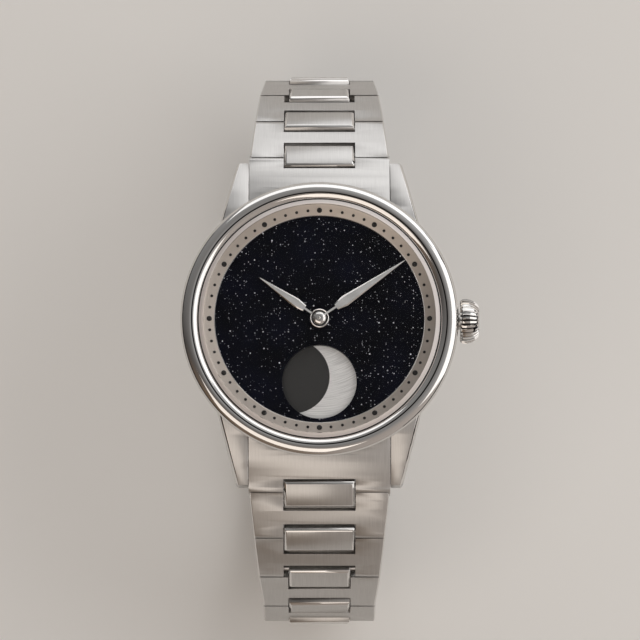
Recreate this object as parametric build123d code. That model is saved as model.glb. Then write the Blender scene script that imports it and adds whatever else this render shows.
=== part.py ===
from build123d import *
import math
import os

# A moon phase wristwatch in stainless steel on a tapering link bracelet, without any name on it.
# Lengths are in millimetres and angles in degrees. The dial faces +Z, 12 o'clock is on +Y and the
# crown on +X. The origin is the centre of the flat back of the case. The closed bracelet hangs
# below the case and the whole watch stands on its clasp.

# Head: heights, stacked from the back face up
back_wall = 1.0
back_flange = 1.4
back_ring_height = 1.8
rotor_room = 0.35
rotor_rim_thickness = 0.95
rotor_bridge_gap = 0.2
bridge_thickness = 0.8
train_room = 1.4
plate_thickness = 1.0
dial_side_room = 1.6
dial_plate = 0.3
dial_glass = 0.4
bezel_seat_rise = 0.2
crystal_seat_rise = 0.62
crystal_edge_rise = 1.15
crystal_bevel_rise = 0.38
crystal_dome = 0.75
crystal_hollow = 0.75

# Head: the radius of the dial, and the width of each ring round it
dial_radius = 14.6
ring_width = 1.65
crystal_rim_width = 0.65
crystal_ledge_step = 0.15
gasket_width = 0.15
bezel_slope_width = 0.75
groove_width = 0.18
groove_depth = 0.22
bezel_shoulder_width = 1.7
bezel_overhang = 0.9
bezel_undercut = 0.2
bezel_inner_rise = 1.1
bezel_top_rise = 1.5
bezel_widest_rise = 0.85
bezel_under_rise = 0.45
bezel_shoulder_share = 0.67
bezel_shoulder_rise_share = 0.7
dial_seat_width = 0.4
back_step = 1.0
back_bevel_width = 3.4
back_edge_rise = 0.6
back_thread_step = 1.2
back_thread_wall = 1.0
back_notch_count = 6
back_notch_width = 2.0
back_notch_depth = 0.7
back_gasket_step = 0.5
back_gasket_width = 0.7
back_gasket_thickness = 0.5
thread_clearance = 0.02
slip = 0.05
overrun = 1.0

# Dial side
dial_hole = 0.75
dial_foot_radius = 0.18
dial_foot_length = 1.2
dial_foot_angles = (40, 220)
ring_edge_rise = 0.5
ring_lip_width = 0.12
ring_lip_low = 0.06
ring_lip_high = 0.14
dot_step = 0.8
hour_dot_radius = 0.375
minute_dot_radius = 0.21
dot_thickness = 0.05
dot_lift = 0.005
minutes = 60
hours = 12
moon_centre = 8.9
moon_radius = 5.2
moon_edge_step = 0.35
moon_disc_thickness = 0.18
moon_disc_gap = 0.12
moon_shadow_thickness = 0.04
moon_shadow_angle = -115.1
moon_collar_radius = 0.95
moon_collar_bore = 0.64
moon_collar_length = 0.55
moon_bore_clearance = 0.03

# Hands, seen at nine minutes past ten
hour_hand_angle = 304.6
minute_hand_length = 14.5
minute_hand_angle = 55.6
minute_neck_end = 2.85
minute_widest_at = 4.3
minute_widest = 1.55
minute_hand_rise = 0.6
hour_hand_length = 10.2
hour_neck_end = 2.56
hour_widest_at = 4.0
hour_widest = 1.3
hour_hand_rise = 0.28
hand_thickness = 0.15
hand_neck_width = 0.38
hand_base_width = 0.92
hand_tip_width = 0.1
hand_hub_radius = 1.33
hand_cap_radius = 0.93
hand_cap_height = 0.32

# Lugs and end links: reach along Y past the side of the case, and drop below the dial
lug_inner = 10.0
lug_tip_reach = 4.4
lug_tip_width = 1.75
lug_tip_corner = 0.35
lug_base_width = 3.94
lug_base_reach = -4.5
lug_root_width = 5.0
lug_root_reach = -8.6
lug_line_start = (-6.6, -0.1)
lug_line_middle = (-0.1, 1.1)
lug_line_end = (4.9, 3.5)
lug_foot_reach = 3.0
lug_foot_drop = 6.6
lug_tip_foot_drop = 6.2
lug_foot_start_reach = -1.1
lug_bevel = 0.35
end_link_step = 0.08
end_link_side_gap = 0.07
end_link_start_reach = -2.6
end_link_floor_drop = 5.6
spring_bar_reach = 1.2
spring_bar_drop = 4.2
spring_bar_radius = 0.75
spring_bar_tip_radius = 0.45
spring_bar_tip_length = 1.2
spring_bar_step = 0.5
pin_clearance = 0.03

# Bracelet
link_pitch = 6.65
link_thickness = 2.8
link_gap = 0.08
link_bulge = 0.12
first_hinge_reach = 4.4
first_hinge_drop = 4.8
link_angles = (29.5, 44, 59, 77, 100, 125, 150, 170)
clasp_angle = 180
link_widths = (19.8, 18.5, 17.3, 16.0, 16.0, 16.0, 16.0, 16.0, 16.0)
wide_block_width = 9.9
narrow_block_width = 8.6
wide_block_count = 2
block_side_gap = 0.12
block_rise = 0.35
block_length = 2.48
block_near_length = 1.35
block_tongue_length = 3.0
block_tongue_rise = 0.6
block_bevel = 0.3
bar_bevel = 0.18
cross_bar_gap = 0.06
hinge_pin_radius = 0.5
fixing_pin_radius = 0.4
fixing_pin_reach = 2.15
fixing_pin_drop = 0.15
fixing_pin_inset = 0.4
pin_end_gap = 0.15

# Clasp: heights are measured from the line between the two clasp hinges
clasp_end_gap = 1.6
clasp_floor = 0.9
clasp_under = 3.3
clasp_wall = 0.8
clasp_wall_top = 1.0
clasp_end_wall = 1.0
clasp_end_bevel = 0.6
blade_thickness = 0.9
middle_blade_drop = 2.1
middle_blade_width = 10.0
inner_blade_width = 5.0
inner_blade_rise = 0.45
cover_knuckle_radius = 0.8
cover_knuckle_drop = 1.5
cover_knuckle_inset = 3.9
blade_knuckle_radius = 0.85
blade_knuckle_drop = 0.85
blade_knuckle_y = 15.5
blade_fork_gap = 0.1
blade_pin_radius = 0.4
cradle_clearance = 0.15
cradle_gap = 0.46
clasp_lug_radius = 1.65
inner_eye_radius = 1.2

# Crown and winding work
stem_rise = 0.55
crown_gap = 0.45
crown_length = 2.45
crown_radius = 3.15
crown_end_radius = 2.1
crown_flute_count = 20
crown_flute_depth = 0.26
crown_profile_shares = (
    (0, 0.86, 0.7), (0.2, 1, 1), (0.6, 0.97, 1), (0.85, 0.62, 0.8), (1, 0, 0.5))
crown_recess_radius = 1.62
crown_recess_depth = 1.55
crown_tube_radius = 1.2
crown_tube_bore = 0.6
crown_tube_step = 0.4
crown_tube_reach = 1.3
crown_gasket_clearance = 0.04
crown_gasket_length = 0.5
crown_gasket_step = 0.2
stem_radius = 0.45
stem_start = 7.5
stem_square = 0.6
stem_square_end = 12.2
stem_hole_radius = 0.62
winding_pinion_start = 9.3
winding_pinion_end = 10.6
winding_pinion_radius = 0.68
winding_pinion_clearance = 0.02

# Movement
movement_ring_width = 2.1
movement_flange_width = 0.6
movement_flange_thickness = 0.4
flange_clearance = 0.05
bridge_step = 0.5
bridge_foot_radius = 0.8
bridge_foot_inset = 0.9
bridge_foot_angles = (-20, -110, 95, 185)
movement_ring_start = 0.1
movement_ring_step = 0.2
moon_wall_gap = 0.1
pivot_radius = 0.2
pivot_depth = 0.4
pivot_clearance = 0.02
screw_radius = 0.3
screw_head_radius = 0.55
screw_head_depth = 0.3
screw_length = 2.5
screw_slot_width = 0.14
screw_slot_depth = 0.12
rotor_step = 0.6
rotor_rim_width = 1.8
rotor_plate = 0.3
rotor_hub_radius = 2.0
rotor_hub_thickness = 0.55
rotor_post_radius = 0.8
rotor_boss_radius = 1.3
rotor_boss_gap = 0.1
rotor_screw_head = 1.2
rotor_screw_gap = 0.04
rotor_screw_thickness = 0.15

# Gear train: counts of teeth, modules, and the heights of each wheel
tooth_root_share = 0.62
tooth_tip_share = 0.26
root_depth_share = 1.2
tip_height_share = 0.9
cannon_teeth = 12
cannon_module = 0.1
minute_wheel_teeth = 36
minute_pinion_teeth = 10
hour_wheel_teeth = 40
moon_drive_teeth = 12
moon_idler_teeth = 90
moon_idler_reach = 6.0
moon_pinion_teeth = 8
moon_wheel_teeth = 126
barrel_teeth = 80
barrel_module = 0.14
centre_pinion_teeth = 10
centre_wheel_teeth = 80
centre_module = 0.1
third_pinion_teeth = 10
third_wheel_teeth = 75
third_module = 0.09
fourth_pinion_teeth = 10
fourth_wheel_teeth = 84
fourth_module = 0.08
escape_pinion_teeth = 7
escape_wheel_teeth = 20
minute_wheel_angle = -30
moon_idler_angle = 150
barrel_angle = 30
third_angle = 250
fourth_angle = 170
escape_angle = 100
lever_angle = 90
window_count = 4
window_share = 0.28
window_place_share = 0.58
hour_pipe_radius = 0.58
hour_pipe_bore = 0.43
cannon_pipe_radius = 0.4
cannon_pipe_bore = 0.27
centre_arbor_radius = 0.25
centre_arbor_rise = 0.5

# Dial-side wheels: rise above the mainplate, and thickness
cannon_pinion_rise = 0.04
cannon_pinion_thickness = 0.18
minute_wheel_rise = 0.04
minute_wheel_thickness = 0.15
minute_pinion_thickness = 0.21
hour_wheel_rise = 0.25
hour_wheel_thickness = 0.15
moon_drive_rise = 0.45
moon_drive_thickness = 0.3
moon_idler_rise = 0.52
moon_idler_thickness = 0.15
moon_pinion_rise = 1.06
moon_pinion_thickness = 0.2
moon_wheel_thickness = 0.26

# Wheels of the train: rise above the bridge, and thickness
barrel_drum_radius = 5.2
barrel_wall = 0.3
barrel_rise = 0.5
barrel_lid = 0.12
barrel_thickness = 0.8
barrel_teeth_thickness = 0.25
barrel_arbor_radius = 0.6
mainspring_thickness = 0.09
mainspring_inner = 0.75
mainspring_turn_count = 8
mainspring_inset = 0.15
centre_wheel_rise = 0.15
centre_wheel_thickness = 0.2
centre_pinion_rise = 0.45
third_pinion_rise = 0.1
third_pinion_thickness = 0.3
third_wheel_rise = 0.9
third_wheel_thickness = 0.15
fourth_wheel_rise = 0.45
fourth_wheel_thickness = 0.15
fourth_pinion_rise = 0.75
fourth_pinion_thickness = 0.4
escape_pinion_rise = 0.4
escape_pinion_thickness = 0.25
escape_rise = 0.85
escape_thickness = 0.15
escape_radius = 2.2
escape_tooth_depth = 0.4
escape_tooth_share = 0.35
fork_reach = 2.85
fork_width = 0.4
fork_arm_width = 0.3
fork_tip_gap = 0.3
fork_notch_width = 0.2
fork_notch_depth = 0.3
fork_tip_width = 0.55
pallet_spread = 1.12
pallet_drop = 0.72
pallet_width = 0.18
balance_reach = 6.3
balance_radius = 3.1
balance_rim = 0.3
balance_spoke_width = 0.35
balance_rise = 0.4
balance_thickness = 0.25
roller_radius = 0.5
roller_rise = 0.72
roller_thickness = 0.08
hairspring_rise = 0.12
hairspring_height = 0.16
hairspring_inner = 0.32
hairspring_outer = 2.0
hairspring_turn_count = 6
hairspring_thickness = 0.06
stud_radius = 0.14
cock_foot_angle = 165
cock_foot_circle = 11.6
cock_arm_radius = 1.0
cock_gap = 0.2
balance_window_radius = 3.0
spiral_step_count = 18

# Radii and places that follow from the sizes above
ring_outer_radius = dial_radius + ring_width
crystal_bevel_radius = ring_outer_radius
crystal_hollow_radius = ring_outer_radius - slip
crystal_ledge_radius = ring_outer_radius + crystal_ledge_step
crystal_radius = ring_outer_radius + crystal_rim_width
bezel_bore = crystal_radius + gasket_width
groove_radius = bezel_bore + bezel_slope_width
bezel_radius = groove_radius + bezel_shoulder_width
bezel_under_radius = bezel_radius - bezel_undercut
case_radius = bezel_radius - bezel_overhang
movement_bore = dial_radius + dial_seat_width
dial_edge_radius = movement_bore - slip
movement_radius = movement_bore - movement_ring_width
movement_flange_radius = movement_radius + movement_flange_width
bridge_radius = movement_radius - bridge_step
bridge_foot_circle = bridge_radius - bridge_foot_inset
rotor_radius = movement_radius - rotor_step
dot_circle = dial_radius + dot_step
moon_edge_radius = dial_radius - moon_edge_step
back_radius = case_radius - back_step
back_face_radius = back_radius - back_bevel_width
back_thread_radius = movement_bore + back_thread_step
back_gasket_radius = back_thread_radius + back_gasket_step
lug_tip_y = case_radius + lug_tip_reach
lug_base_y = case_radius + lug_base_reach
lug_root_y = case_radius + lug_root_reach
spring_bar_y = case_radius + spring_bar_reach
crown_start = bezel_radius + crown_gap
crown_tube_start = movement_bore + crown_tube_step
crown_tube_end = bezel_radius + crown_tube_reach
crown_gasket_start = crown_start + crown_gasket_step
stem_end = crown_start + crown_recess_depth

# Heights that follow from the sizes above
rotor_low = back_wall + rotor_room
bridge_low = rotor_low + rotor_rim_thickness + rotor_bridge_gap
bridge_high = bridge_low + bridge_thickness
plate_low = bridge_high + train_room
plate_high = plate_low + plate_thickness
dial_plate_low = plate_high + dial_side_room
dial_glass_low = dial_plate_low + dial_plate
dial_height = dial_glass_low + dial_glass
pivot_low = bridge_high - pivot_depth
pivot_high = plate_low + pivot_depth
bezel_seat = dial_height + bezel_seat_rise
crystal_seat = dial_height + crystal_seat_rise
crystal_edge = dial_height + crystal_edge_rise
crystal_bevel_top = crystal_edge + crystal_bevel_rise
moon_disc_high = dial_plate_low - moon_disc_gap
moon_disc_low = moon_disc_high - moon_disc_thickness
moon_bore = moon_collar_radius + moon_bore_clearance
minute_hand_low = dial_height + minute_hand_rise
hour_hand_low = dial_height + hour_hand_rise
link_radius = link_thickness / 2
block_top = link_radius + block_rise
notch_radius = math.hypot(block_near_length - block_bevel, block_top) + link_gap
crown_height = plate_high + stem_rise
first_hinge = (case_radius + first_hinge_reach, dial_height - first_hinge_drop)
minute_arbor_reach = cannon_module * (cannon_teeth + minute_wheel_teeth) / 2
minute_pinion_module = 2 * minute_arbor_reach / (minute_pinion_teeth + hour_wheel_teeth)
moon_drive_module = 2 * moon_idler_reach / (moon_drive_teeth + moon_idler_teeth)
moon_module = 2 * moon_idler_reach / (moon_pinion_teeth + moon_wheel_teeth)
barrel_reach = barrel_module * (barrel_teeth + centre_pinion_teeth) / 2
third_reach = centre_module * (centre_wheel_teeth + third_pinion_teeth) / 2
fourth_reach = third_module * (third_wheel_teeth + fourth_pinion_teeth) / 2
escape_reach = fourth_module * (fourth_wheel_teeth + escape_pinion_teeth) / 2

UPWARD = (Align.CENTER, Align.CENTER, Align.MIN)


def turned(reach, angle):
    """The place at a distance from the centre, in a direction counted from +X."""
    return (reach * math.cos(math.radians(angle)), reach * math.sin(math.radians(angle)))


def shifted(place, reach, angle):
    step = turned(reach, angle)
    return (place[0] + step[0], place[1] + step[1])


def disc(radius, low, high, place=(0, 0)):
    return Pos(place[0], place[1], low) * Cylinder(radius, high - low, align=UPWARD)


def ring(outer, inner, low, high, place=(0, 0)):
    return disc(outer, low, high, place) - disc(inner, low, high, place)


def block(x_range, y_range, z_range):
    """A box between two x, two y and two z places."""
    centre = [(low + high) / 2 for low, high in (x_range, y_range, z_range)]
    sides = [high - low for low, high in (x_range, y_range, z_range)]
    return Pos(*centre) * Box(*sides)


def turned_solid(*lines):
    """A body of revolution about Z from lines drawn as radius and height."""
    outline = Curve() + list(lines)
    return revolve(Plane.XZ * make_face(outline), Axis.Z)


def lying_rod(radius, x_low, x_high, y, z):
    """A round rod along X."""
    return Pos(x_low, y, z) * Rot(0, 90, 0) * Cylinder(radius, x_high - x_low, align=UPWARD)


def side_prism(outline, x_low, x_high):
    """A side view, drawn as y and z, drawn out between two x places."""
    return Pos(x_low, 0, 0) * extrude(Plane.YZ * outline, x_high - x_low)


def plan_prism(outline, low, high):
    """A plan view, drawn as x and y, drawn up between two heights."""
    return Pos(0, 0, low) * extrude(outline, high - low)


def solids_of(*shapes):
    """Separate solids that share one sub-part."""
    return Compound([solid for shape in shapes for solid in shape.solids()])


def dome_height(radius, low, high, place):
    """Height, at a distance from the middle, of a round dome of a given edge radius."""
    ball = (radius ** 2 + (high - low) ** 2) / (2 * (high - low))
    return high - ball + math.sqrt(ball ** 2 - place ** 2)


def dome_arc(radius, low, high):
    half = radius / 2
    middle = (half, dome_height(radius, low, high, half))
    return ThreePointArc((0, high), middle, (radius, low))


# Case, bezel and crystal
def make_bezel():
    inner_top = dial_height + bezel_inner_rise
    top = dial_height + bezel_top_rise
    groove_floor = top - groove_depth
    outer_start = groove_radius + groove_width
    widest = dial_height + bezel_widest_rise
    under = dial_height + bezel_under_rise
    shoulder = outer_start + (bezel_radius - outer_start) * bezel_shoulder_share
    shoulder_height = widest + (top - widest) * bezel_shoulder_rise_share
    return turned_solid(
        Polyline(
            (case_radius, bezel_seat), (crystal_ledge_radius, bezel_seat),
            (crystal_ledge_radius, crystal_seat), (bezel_bore, crystal_seat),
            (bezel_bore, inner_top), (groove_radius, top),
            (groove_radius, groove_floor), (outer_start, groove_floor), (outer_start, top)),
        ThreePointArc((outer_start, top), (shoulder, shoulder_height), (bezel_radius, widest)),
        Polyline((bezel_radius, widest), (bezel_under_radius, under), (case_radius, bezel_seat)))


def make_crystal():
    edge_top = crystal_bevel_top + crystal_dome
    hollow_top = crystal_seat + crystal_hollow
    return turned_solid(
        dome_arc(crystal_bevel_radius, crystal_bevel_top, edge_top),
        Polyline(
            (crystal_bevel_radius, crystal_bevel_top), (crystal_radius, crystal_edge),
            (crystal_radius, crystal_seat), (crystal_hollow_radius, crystal_seat)),
        dome_arc(crystal_hollow_radius, crystal_seat, hollow_top),
        Line((0, hollow_top), (0, edge_top)))


def make_case_gaskets():
    groove_top = back_flange + back_gasket_thickness
    crystal_ring = ring(bezel_bore, crystal_radius, crystal_seat, crystal_edge)
    back_ring = ring(
        back_gasket_radius + back_gasket_width, back_gasket_radius, back_flange, groove_top)
    return solids_of(crystal_ring, back_ring)


def lug_point(reach, drop):
    """A point of the side view, from its reach past the case and its drop below the dial."""
    return (case_radius + reach, dial_height - drop)


def top_line(step=0):
    """The falling line of the lugs and end links, as y and height."""
    points = (lug_line_start, lug_line_middle, lug_line_end)
    return ThreePointArc(*[lug_point(reach, drop + step) for reach, drop in points])


def lug_outline():
    start = lug_point(*lug_line_start)
    end = lug_point(*lug_line_end)
    tip_foot = (end[0], dial_height - lug_tip_foot_drop)
    foot = lug_point(lug_foot_reach, lug_foot_drop)
    foot_start = (case_radius + lug_foot_start_reach, back_flange)
    sides = Polyline(end, tip_foot, foot, foot_start, (start[0], back_flange), start)
    return make_face(Curve() + [top_line(), sides])


def lug_plan():
    corner = lug_tip_corner
    tip_outer = lug_inner + lug_tip_width
    return make_face(Polyline(
        (lug_inner, lug_root_y), (lug_inner, lug_tip_y), (tip_outer - corner, lug_tip_y),
        (tip_outer, lug_tip_y - corner), (lug_inner + lug_base_width, lug_base_y),
        (lug_inner + lug_root_width, lug_root_y), (lug_inner, lug_root_y)))


def make_lug():
    side = side_prism(lug_outline(), lug_inner, lug_inner + lug_root_width)
    lug = side & plan_prism(lug_plan(), 0, dial_height + overrun)
    flank = (lug_tip_y - lug_base_y) / 2
    outer_top = [
        edge for edge in lug.edges()
        if edge.center().X > lug_inner + lug_bevel and edge.bounding_box().size.Y > flank
        and edge.center().Z > dial_height - lug_line_end[1]]
    return chamfer(outer_top, lug_bevel)


def make_case_middle():
    body = disc(case_radius, back_flange, bezel_seat)
    lug = make_lug()
    lug += mirror(lug, Plane.YZ)
    body += lug
    body += mirror(lug, Plane.XZ)
    thread = back_thread_radius + thread_clearance
    body -= disc(thread, back_flange, back_flange + back_ring_height + slip)
    body -= disc(movement_bore, back_flange, dial_height)
    body -= disc(ring_outer_radius + slip, dial_height, bezel_seat)
    groove_top = back_flange + back_gasket_thickness
    body -= ring(
        back_gasket_radius + back_gasket_width, back_gasket_radius, back_flange, groove_top)
    body -= lying_rod(crown_tube_radius, 0, case_radius + overrun, 0, crown_height)
    tip_reach = lug_inner + spring_bar_tip_length
    for side in (1, -1):
        body -= lying_rod(
            spring_bar_tip_radius, -tip_reach, tip_reach,
            side * spring_bar_y, dial_height - spring_bar_drop)
    return body


def make_case_back():
    ring_inner = back_thread_radius - back_thread_wall
    top = back_flange + back_ring_height
    back = turned_solid(Polyline(
        (0, 0), (back_face_radius, 0), (back_radius, back_edge_rise), (back_radius, back_flange),
        (back_thread_radius, back_flange), (back_thread_radius, top), (ring_inner, top),
        (ring_inner, back_wall), (0, back_wall), (0, 0)))
    half = back_notch_width / 2
    notch = block(
        (-half, half), (back_radius - back_notch_depth, back_radius + overrun),
        (-overrun, back_flange / 2))
    for index in range(back_notch_count):
        back -= Rot(0, 0, index * 360 / back_notch_count) * notch
    return back


# Dial side
def make_chapter_ring():
    lip = dial_radius + ring_lip_width
    return turned_solid(Polyline(
        (dial_radius, dial_height), (ring_outer_radius, dial_height),
        (ring_outer_radius, dial_height + ring_edge_rise), (lip, dial_height + ring_lip_high),
        (dial_radius, dial_height + ring_lip_low), (dial_radius, dial_height)))


def make_dots(radius, count, skip=0):
    """Dots on the sloping ring, leaving out each one whose number divides by skip."""
    lip = dial_radius + ring_lip_width
    rise = ring_edge_rise - ring_lip_high
    run = ring_outer_radius - lip
    height = dial_height + ring_lip_high + rise * (dot_circle - lip) / run
    slope = math.degrees(math.atan2(rise, run))
    dots = []
    for index in range(count):
        if skip and index % skip == 0:
            continue
        dot = Pos(0, 0, dot_lift) * Cylinder(radius, dot_thickness, align=UPWARD)
        dot = Pos(0, dot_circle, height) * Rot(slope, 0, 0) * dot
        dots.append(Rot(0, 0, index * 360 / count) * dot)
    return solids_of(*dots)


def make_dial():
    dial = disc(dial_edge_radius, dial_glass_low, dial_height)
    dial -= disc(moon_radius, dial_glass_low, dial_height, (0, -moon_centre))
    return dial - disc(dial_hole, dial_glass_low, dial_height)


def make_dial_base():
    base = disc(dial_edge_radius, dial_plate_low, dial_glass_low)
    base -= disc(moon_radius, dial_plate_low, dial_glass_low, (0, -moon_centre))
    base += disc(moon_collar_radius, dial_plate_low - moon_collar_length, dial_plate_low)
    base -= disc(moon_collar_bore, dial_plate_low - moon_collar_length, dial_glass_low)
    foot_circle = (movement_bore + moon_edge_radius) / 2
    for angle in dial_foot_angles:
        base += disc(
            dial_foot_radius, dial_plate_low - dial_foot_length, dial_plate_low,
            turned(foot_circle, angle))
    return base


def make_moon_disc(phase):
    """The moon disc and the toothed wheel that it is fixed to."""
    plate = ring(moon_edge_radius, moon_bore, moon_disc_low, moon_disc_high)
    wheel_low = moon_disc_low - moon_wheel_thickness
    wheel = gear(moon_wheel_teeth, moon_module, wheel_low, moon_disc_low, phase)
    wheel -= disc(moon_bore, wheel_low, moon_disc_low)
    return solids_of(plate, wheel)


def make_moon_shadows():
    high = moon_disc_high + moon_shadow_thickness
    places = [turned(moon_centre, moon_shadow_angle + turn) for turn in (0, 180)]
    return solids_of(*[disc(moon_radius, moon_disc_high, high, place) for place in places])


def make_hand(length, neck_end, widest_at, widest, low, bore, angle):
    half_neck = hand_neck_width / 2
    half_base = hand_base_width / 2
    half_widest = widest / 2
    half_tip = hand_tip_width / 2
    right = [
        (half_neck, 0), (half_neck, neck_end), (half_base, neck_end),
        (half_widest, widest_at), (half_tip, length)]
    left = [(-x, y) for x, y in reversed(right)]
    blade = plan_prism(make_face(Polyline(*right, *left, close=True)), low, low + hand_thickness)
    hand = Rot(0, 0, -angle) * blade + disc(hand_hub_radius, low, low + hand_thickness)
    return hand - disc(bore, low, low + hand_thickness)


def make_hand_cap():
    low = minute_hand_low + hand_thickness
    cap = turned_solid(
        dome_arc(hand_cap_radius, low, low + hand_cap_height),
        Line((hand_cap_radius, low), (0, low)),
        Line((0, low), (0, low + hand_cap_height)))
    return cap


# Toothed wheels
def gear_outline(teeth, module, phase):
    """Teeth with straight flanks, one of them centred on the phase angle."""
    pitch_radius = module * teeth / 2
    root = pitch_radius - module * root_depth_share
    tip = pitch_radius + module * tip_height_share
    step = 360 / teeth
    corners = []
    for index in range(teeth):
        middle = phase + index * step
        for radius, share in (
                (root, -tooth_root_share), (tip, -tooth_tip_share),
                (tip, tooth_tip_share), (root, tooth_root_share)):
            corners.append(turned(radius, middle + share * step / 2))
    return make_face(Polyline(*corners, close=True))


def gear(teeth, module, low, high, phase, place=(0, 0)):
    return Pos(place[0], place[1], 0) * plan_prism(gear_outline(teeth, module, phase), low, high)


def wheel_windows(radius, low, high, place):
    """The openings that leave a wheel its spokes."""
    window = radius * window_share
    middle = radius * window_place_share
    return [
        disc(window, low, high, shifted(place, middle, index * 360 / window_count))
        for index in range(window_count)]


def meshed_phase(phase, module, teeth, mate_teeth, direction):
    """The phase of a mate that stands in a direction from a wheel and meshes with it."""
    lead = math.radians(phase - direction) * module * teeth / 2
    back = (lead + math.pi * module / 2) / (module * mate_teeth / 2)
    return direction + 180 - math.degrees(back)


def arbor(place, low=None, high=None):
    return disc(pivot_radius, pivot_low if low is None else low,
                pivot_high if high is None else high, place)


# Motion work: the wheels between the mainplate and the dial
minute_arbor = turned(minute_arbor_reach, minute_wheel_angle)
moon_idler_place = turned(moon_idler_reach, moon_idler_angle)


def make_cannon_pinion():
    low = plate_high + cannon_pinion_rise
    top = minute_hand_low + hand_thickness
    pinion = gear(cannon_teeth, cannon_module, low, low + cannon_pinion_thickness, 0)
    pinion += disc(cannon_pipe_radius, low, top)
    return pinion - disc(cannon_pipe_bore, low, top)


def make_minute_wheel():
    low = plate_high + minute_wheel_rise
    middle = low + minute_wheel_thickness
    high = middle + minute_pinion_thickness
    phase = meshed_phase(
        0, cannon_module, cannon_teeth, minute_wheel_teeth, minute_wheel_angle)
    wheel = gear(minute_wheel_teeth, cannon_module, low, middle, phase, minute_arbor)
    wheel += gear(minute_pinion_teeth, minute_pinion_module, middle, high, 0, minute_arbor)
    return wheel + arbor(minute_arbor, plate_high - pivot_depth, high)


def make_hour_wheel():
    low = plate_high + hour_wheel_rise
    drive_low = plate_high + moon_drive_rise
    top = hour_hand_low + hand_thickness
    phase = meshed_phase(
        0, minute_pinion_module, minute_pinion_teeth, hour_wheel_teeth,
        minute_wheel_angle + 180)
    wheel = gear(
        hour_wheel_teeth, minute_pinion_module, low, low + hour_wheel_thickness, phase)
    wheel += gear(
        moon_drive_teeth, moon_drive_module, drive_low, drive_low + moon_drive_thickness, 0)
    wheel += disc(hour_pipe_radius, low, top)
    return wheel - disc(hour_pipe_bore, low, top)


def make_moon_idler():
    low = plate_high + moon_idler_rise
    high = low + moon_idler_thickness
    pinion_low = plate_high + moon_pinion_rise
    pinion_high = pinion_low + moon_pinion_thickness
    phase = meshed_phase(
        0, moon_drive_module, moon_drive_teeth, moon_idler_teeth, moon_idler_angle)
    wheel = gear(moon_idler_teeth, moon_drive_module, low, high, phase, moon_idler_place)
    for window in wheel_windows(
            moon_drive_module * moon_idler_teeth / 2, low, high, moon_idler_place):
        wheel -= window
    wheel += gear(moon_pinion_teeth, moon_module, pinion_low, pinion_high, 0, moon_idler_place)
    return wheel + arbor(moon_idler_place, plate_high - pivot_depth, pinion_high)


def moon_wheel_phase():
    return meshed_phase(
        0, moon_module, moon_pinion_teeth, moon_wheel_teeth, moon_idler_angle + 180)


# Movement
barrel_place = turned(barrel_reach, barrel_angle)
third_place = turned(third_reach, third_angle)
fourth_place = shifted(third_place, fourth_reach, fourth_angle)
escape_place = shifted(fourth_place, escape_reach, escape_angle)
fork_place = shifted(escape_place, fork_reach, lever_angle)
balance_place = shifted(escape_place, balance_reach, lever_angle)
cock_foot_place = turned(cock_foot_circle, cock_foot_angle)
foot_places = [turned(bridge_foot_circle, angle) for angle in bridge_foot_angles]
arbor_places = [third_place, fourth_place, escape_place, fork_place, balance_place]


def screw(place, low):
    """A slotted screw whose head faces the back."""
    head_top = low + screw_head_depth
    body = disc(screw_head_radius, low, head_top, place)
    body += disc(screw_radius, head_top, low + screw_length, place)
    half = screw_slot_width / 2
    reach = screw_head_radius + overrun
    slot = block(
        (place[0] - reach, place[0] + reach), (place[1] - half, place[1] + half),
        (low - overrun, low + screw_slot_depth))
    return body - slot


def make_movement_screws():
    screws = [screw(place, bridge_low) for place in (*foot_places, cock_foot_place)]
    head_low = rotor_low - rotor_screw_gap - rotor_screw_thickness
    rotor_screw = disc(rotor_screw_head, head_low, rotor_low - rotor_screw_gap)
    rotor_screw += disc(screw_radius, rotor_low - rotor_screw_gap, bridge_low)
    return solids_of(*screws, rotor_screw)


def screw_holes(place):
    head = disc(screw_head_radius + pivot_clearance, bridge_low,
                bridge_low + screw_head_depth, place)
    return head + disc(screw_radius, bridge_low, bridge_low + screw_length, place)


def cock_run():
    """Length and direction from the balance to the cock's foot."""
    run = [cock_foot_place[index] - balance_place[index] for index in (0, 1)]
    return math.hypot(*run), math.degrees(math.atan2(run[1], run[0]))


def cock_outline(extra=0):
    """A bar with round ends from the balance to the cock's foot."""
    ends = [disc(cock_arm_radius + extra, bridge_low, bridge_high, place)
            for place in (balance_place, cock_foot_place)]
    length, angle = cock_run()
    half = cock_arm_radius + extra
    bar = block((0, length), (-half, half), (bridge_low, bridge_high))
    bar = Pos(balance_place[0], balance_place[1], 0) * Rot(0, 0, angle) * bar
    return ends[0] + ends[1] + bar


def make_balance_cock():
    cock = cock_outline() + disc(bridge_foot_radius, bridge_high, plate_low, cock_foot_place)
    hairspring_top = bridge_high + hairspring_rise + hairspring_height
    cock += disc(stud_radius, bridge_high, hairspring_top, stud_place())
    cock -= disc(pivot_radius + pivot_clearance, pivot_low, bridge_high, balance_place)
    return cock - screw_holes(cock_foot_place)


def make_train_bridge():
    bridge = disc(bridge_radius, bridge_low, bridge_high)
    bridge -= disc(balance_window_radius, bridge_low, bridge_high, balance_place)
    bridge -= cock_outline(cock_gap)
    post_low = rotor_low - rotor_screw_gap
    bridge += disc(rotor_boss_radius, rotor_low + rotor_hub_thickness + rotor_boss_gap, bridge_low)
    bridge += disc(rotor_post_radius, post_low, bridge_low)
    bridge -= disc(screw_radius, post_low, bridge_low)
    for place in foot_places:
        bridge += disc(bridge_foot_radius, bridge_high, plate_low, place)
        bridge -= screw_holes(place)
    hole = pivot_radius + pivot_clearance
    for place in arbor_places:
        bridge -= disc(hole, pivot_low, bridge_high, place)
    bridge -= disc(centre_arbor_radius + pivot_clearance, pivot_low, bridge_high)
    barrel_hole = barrel_arbor_radius + pivot_clearance
    return bridge - disc(barrel_hole, pivot_low, bridge_high, barrel_place)


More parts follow.
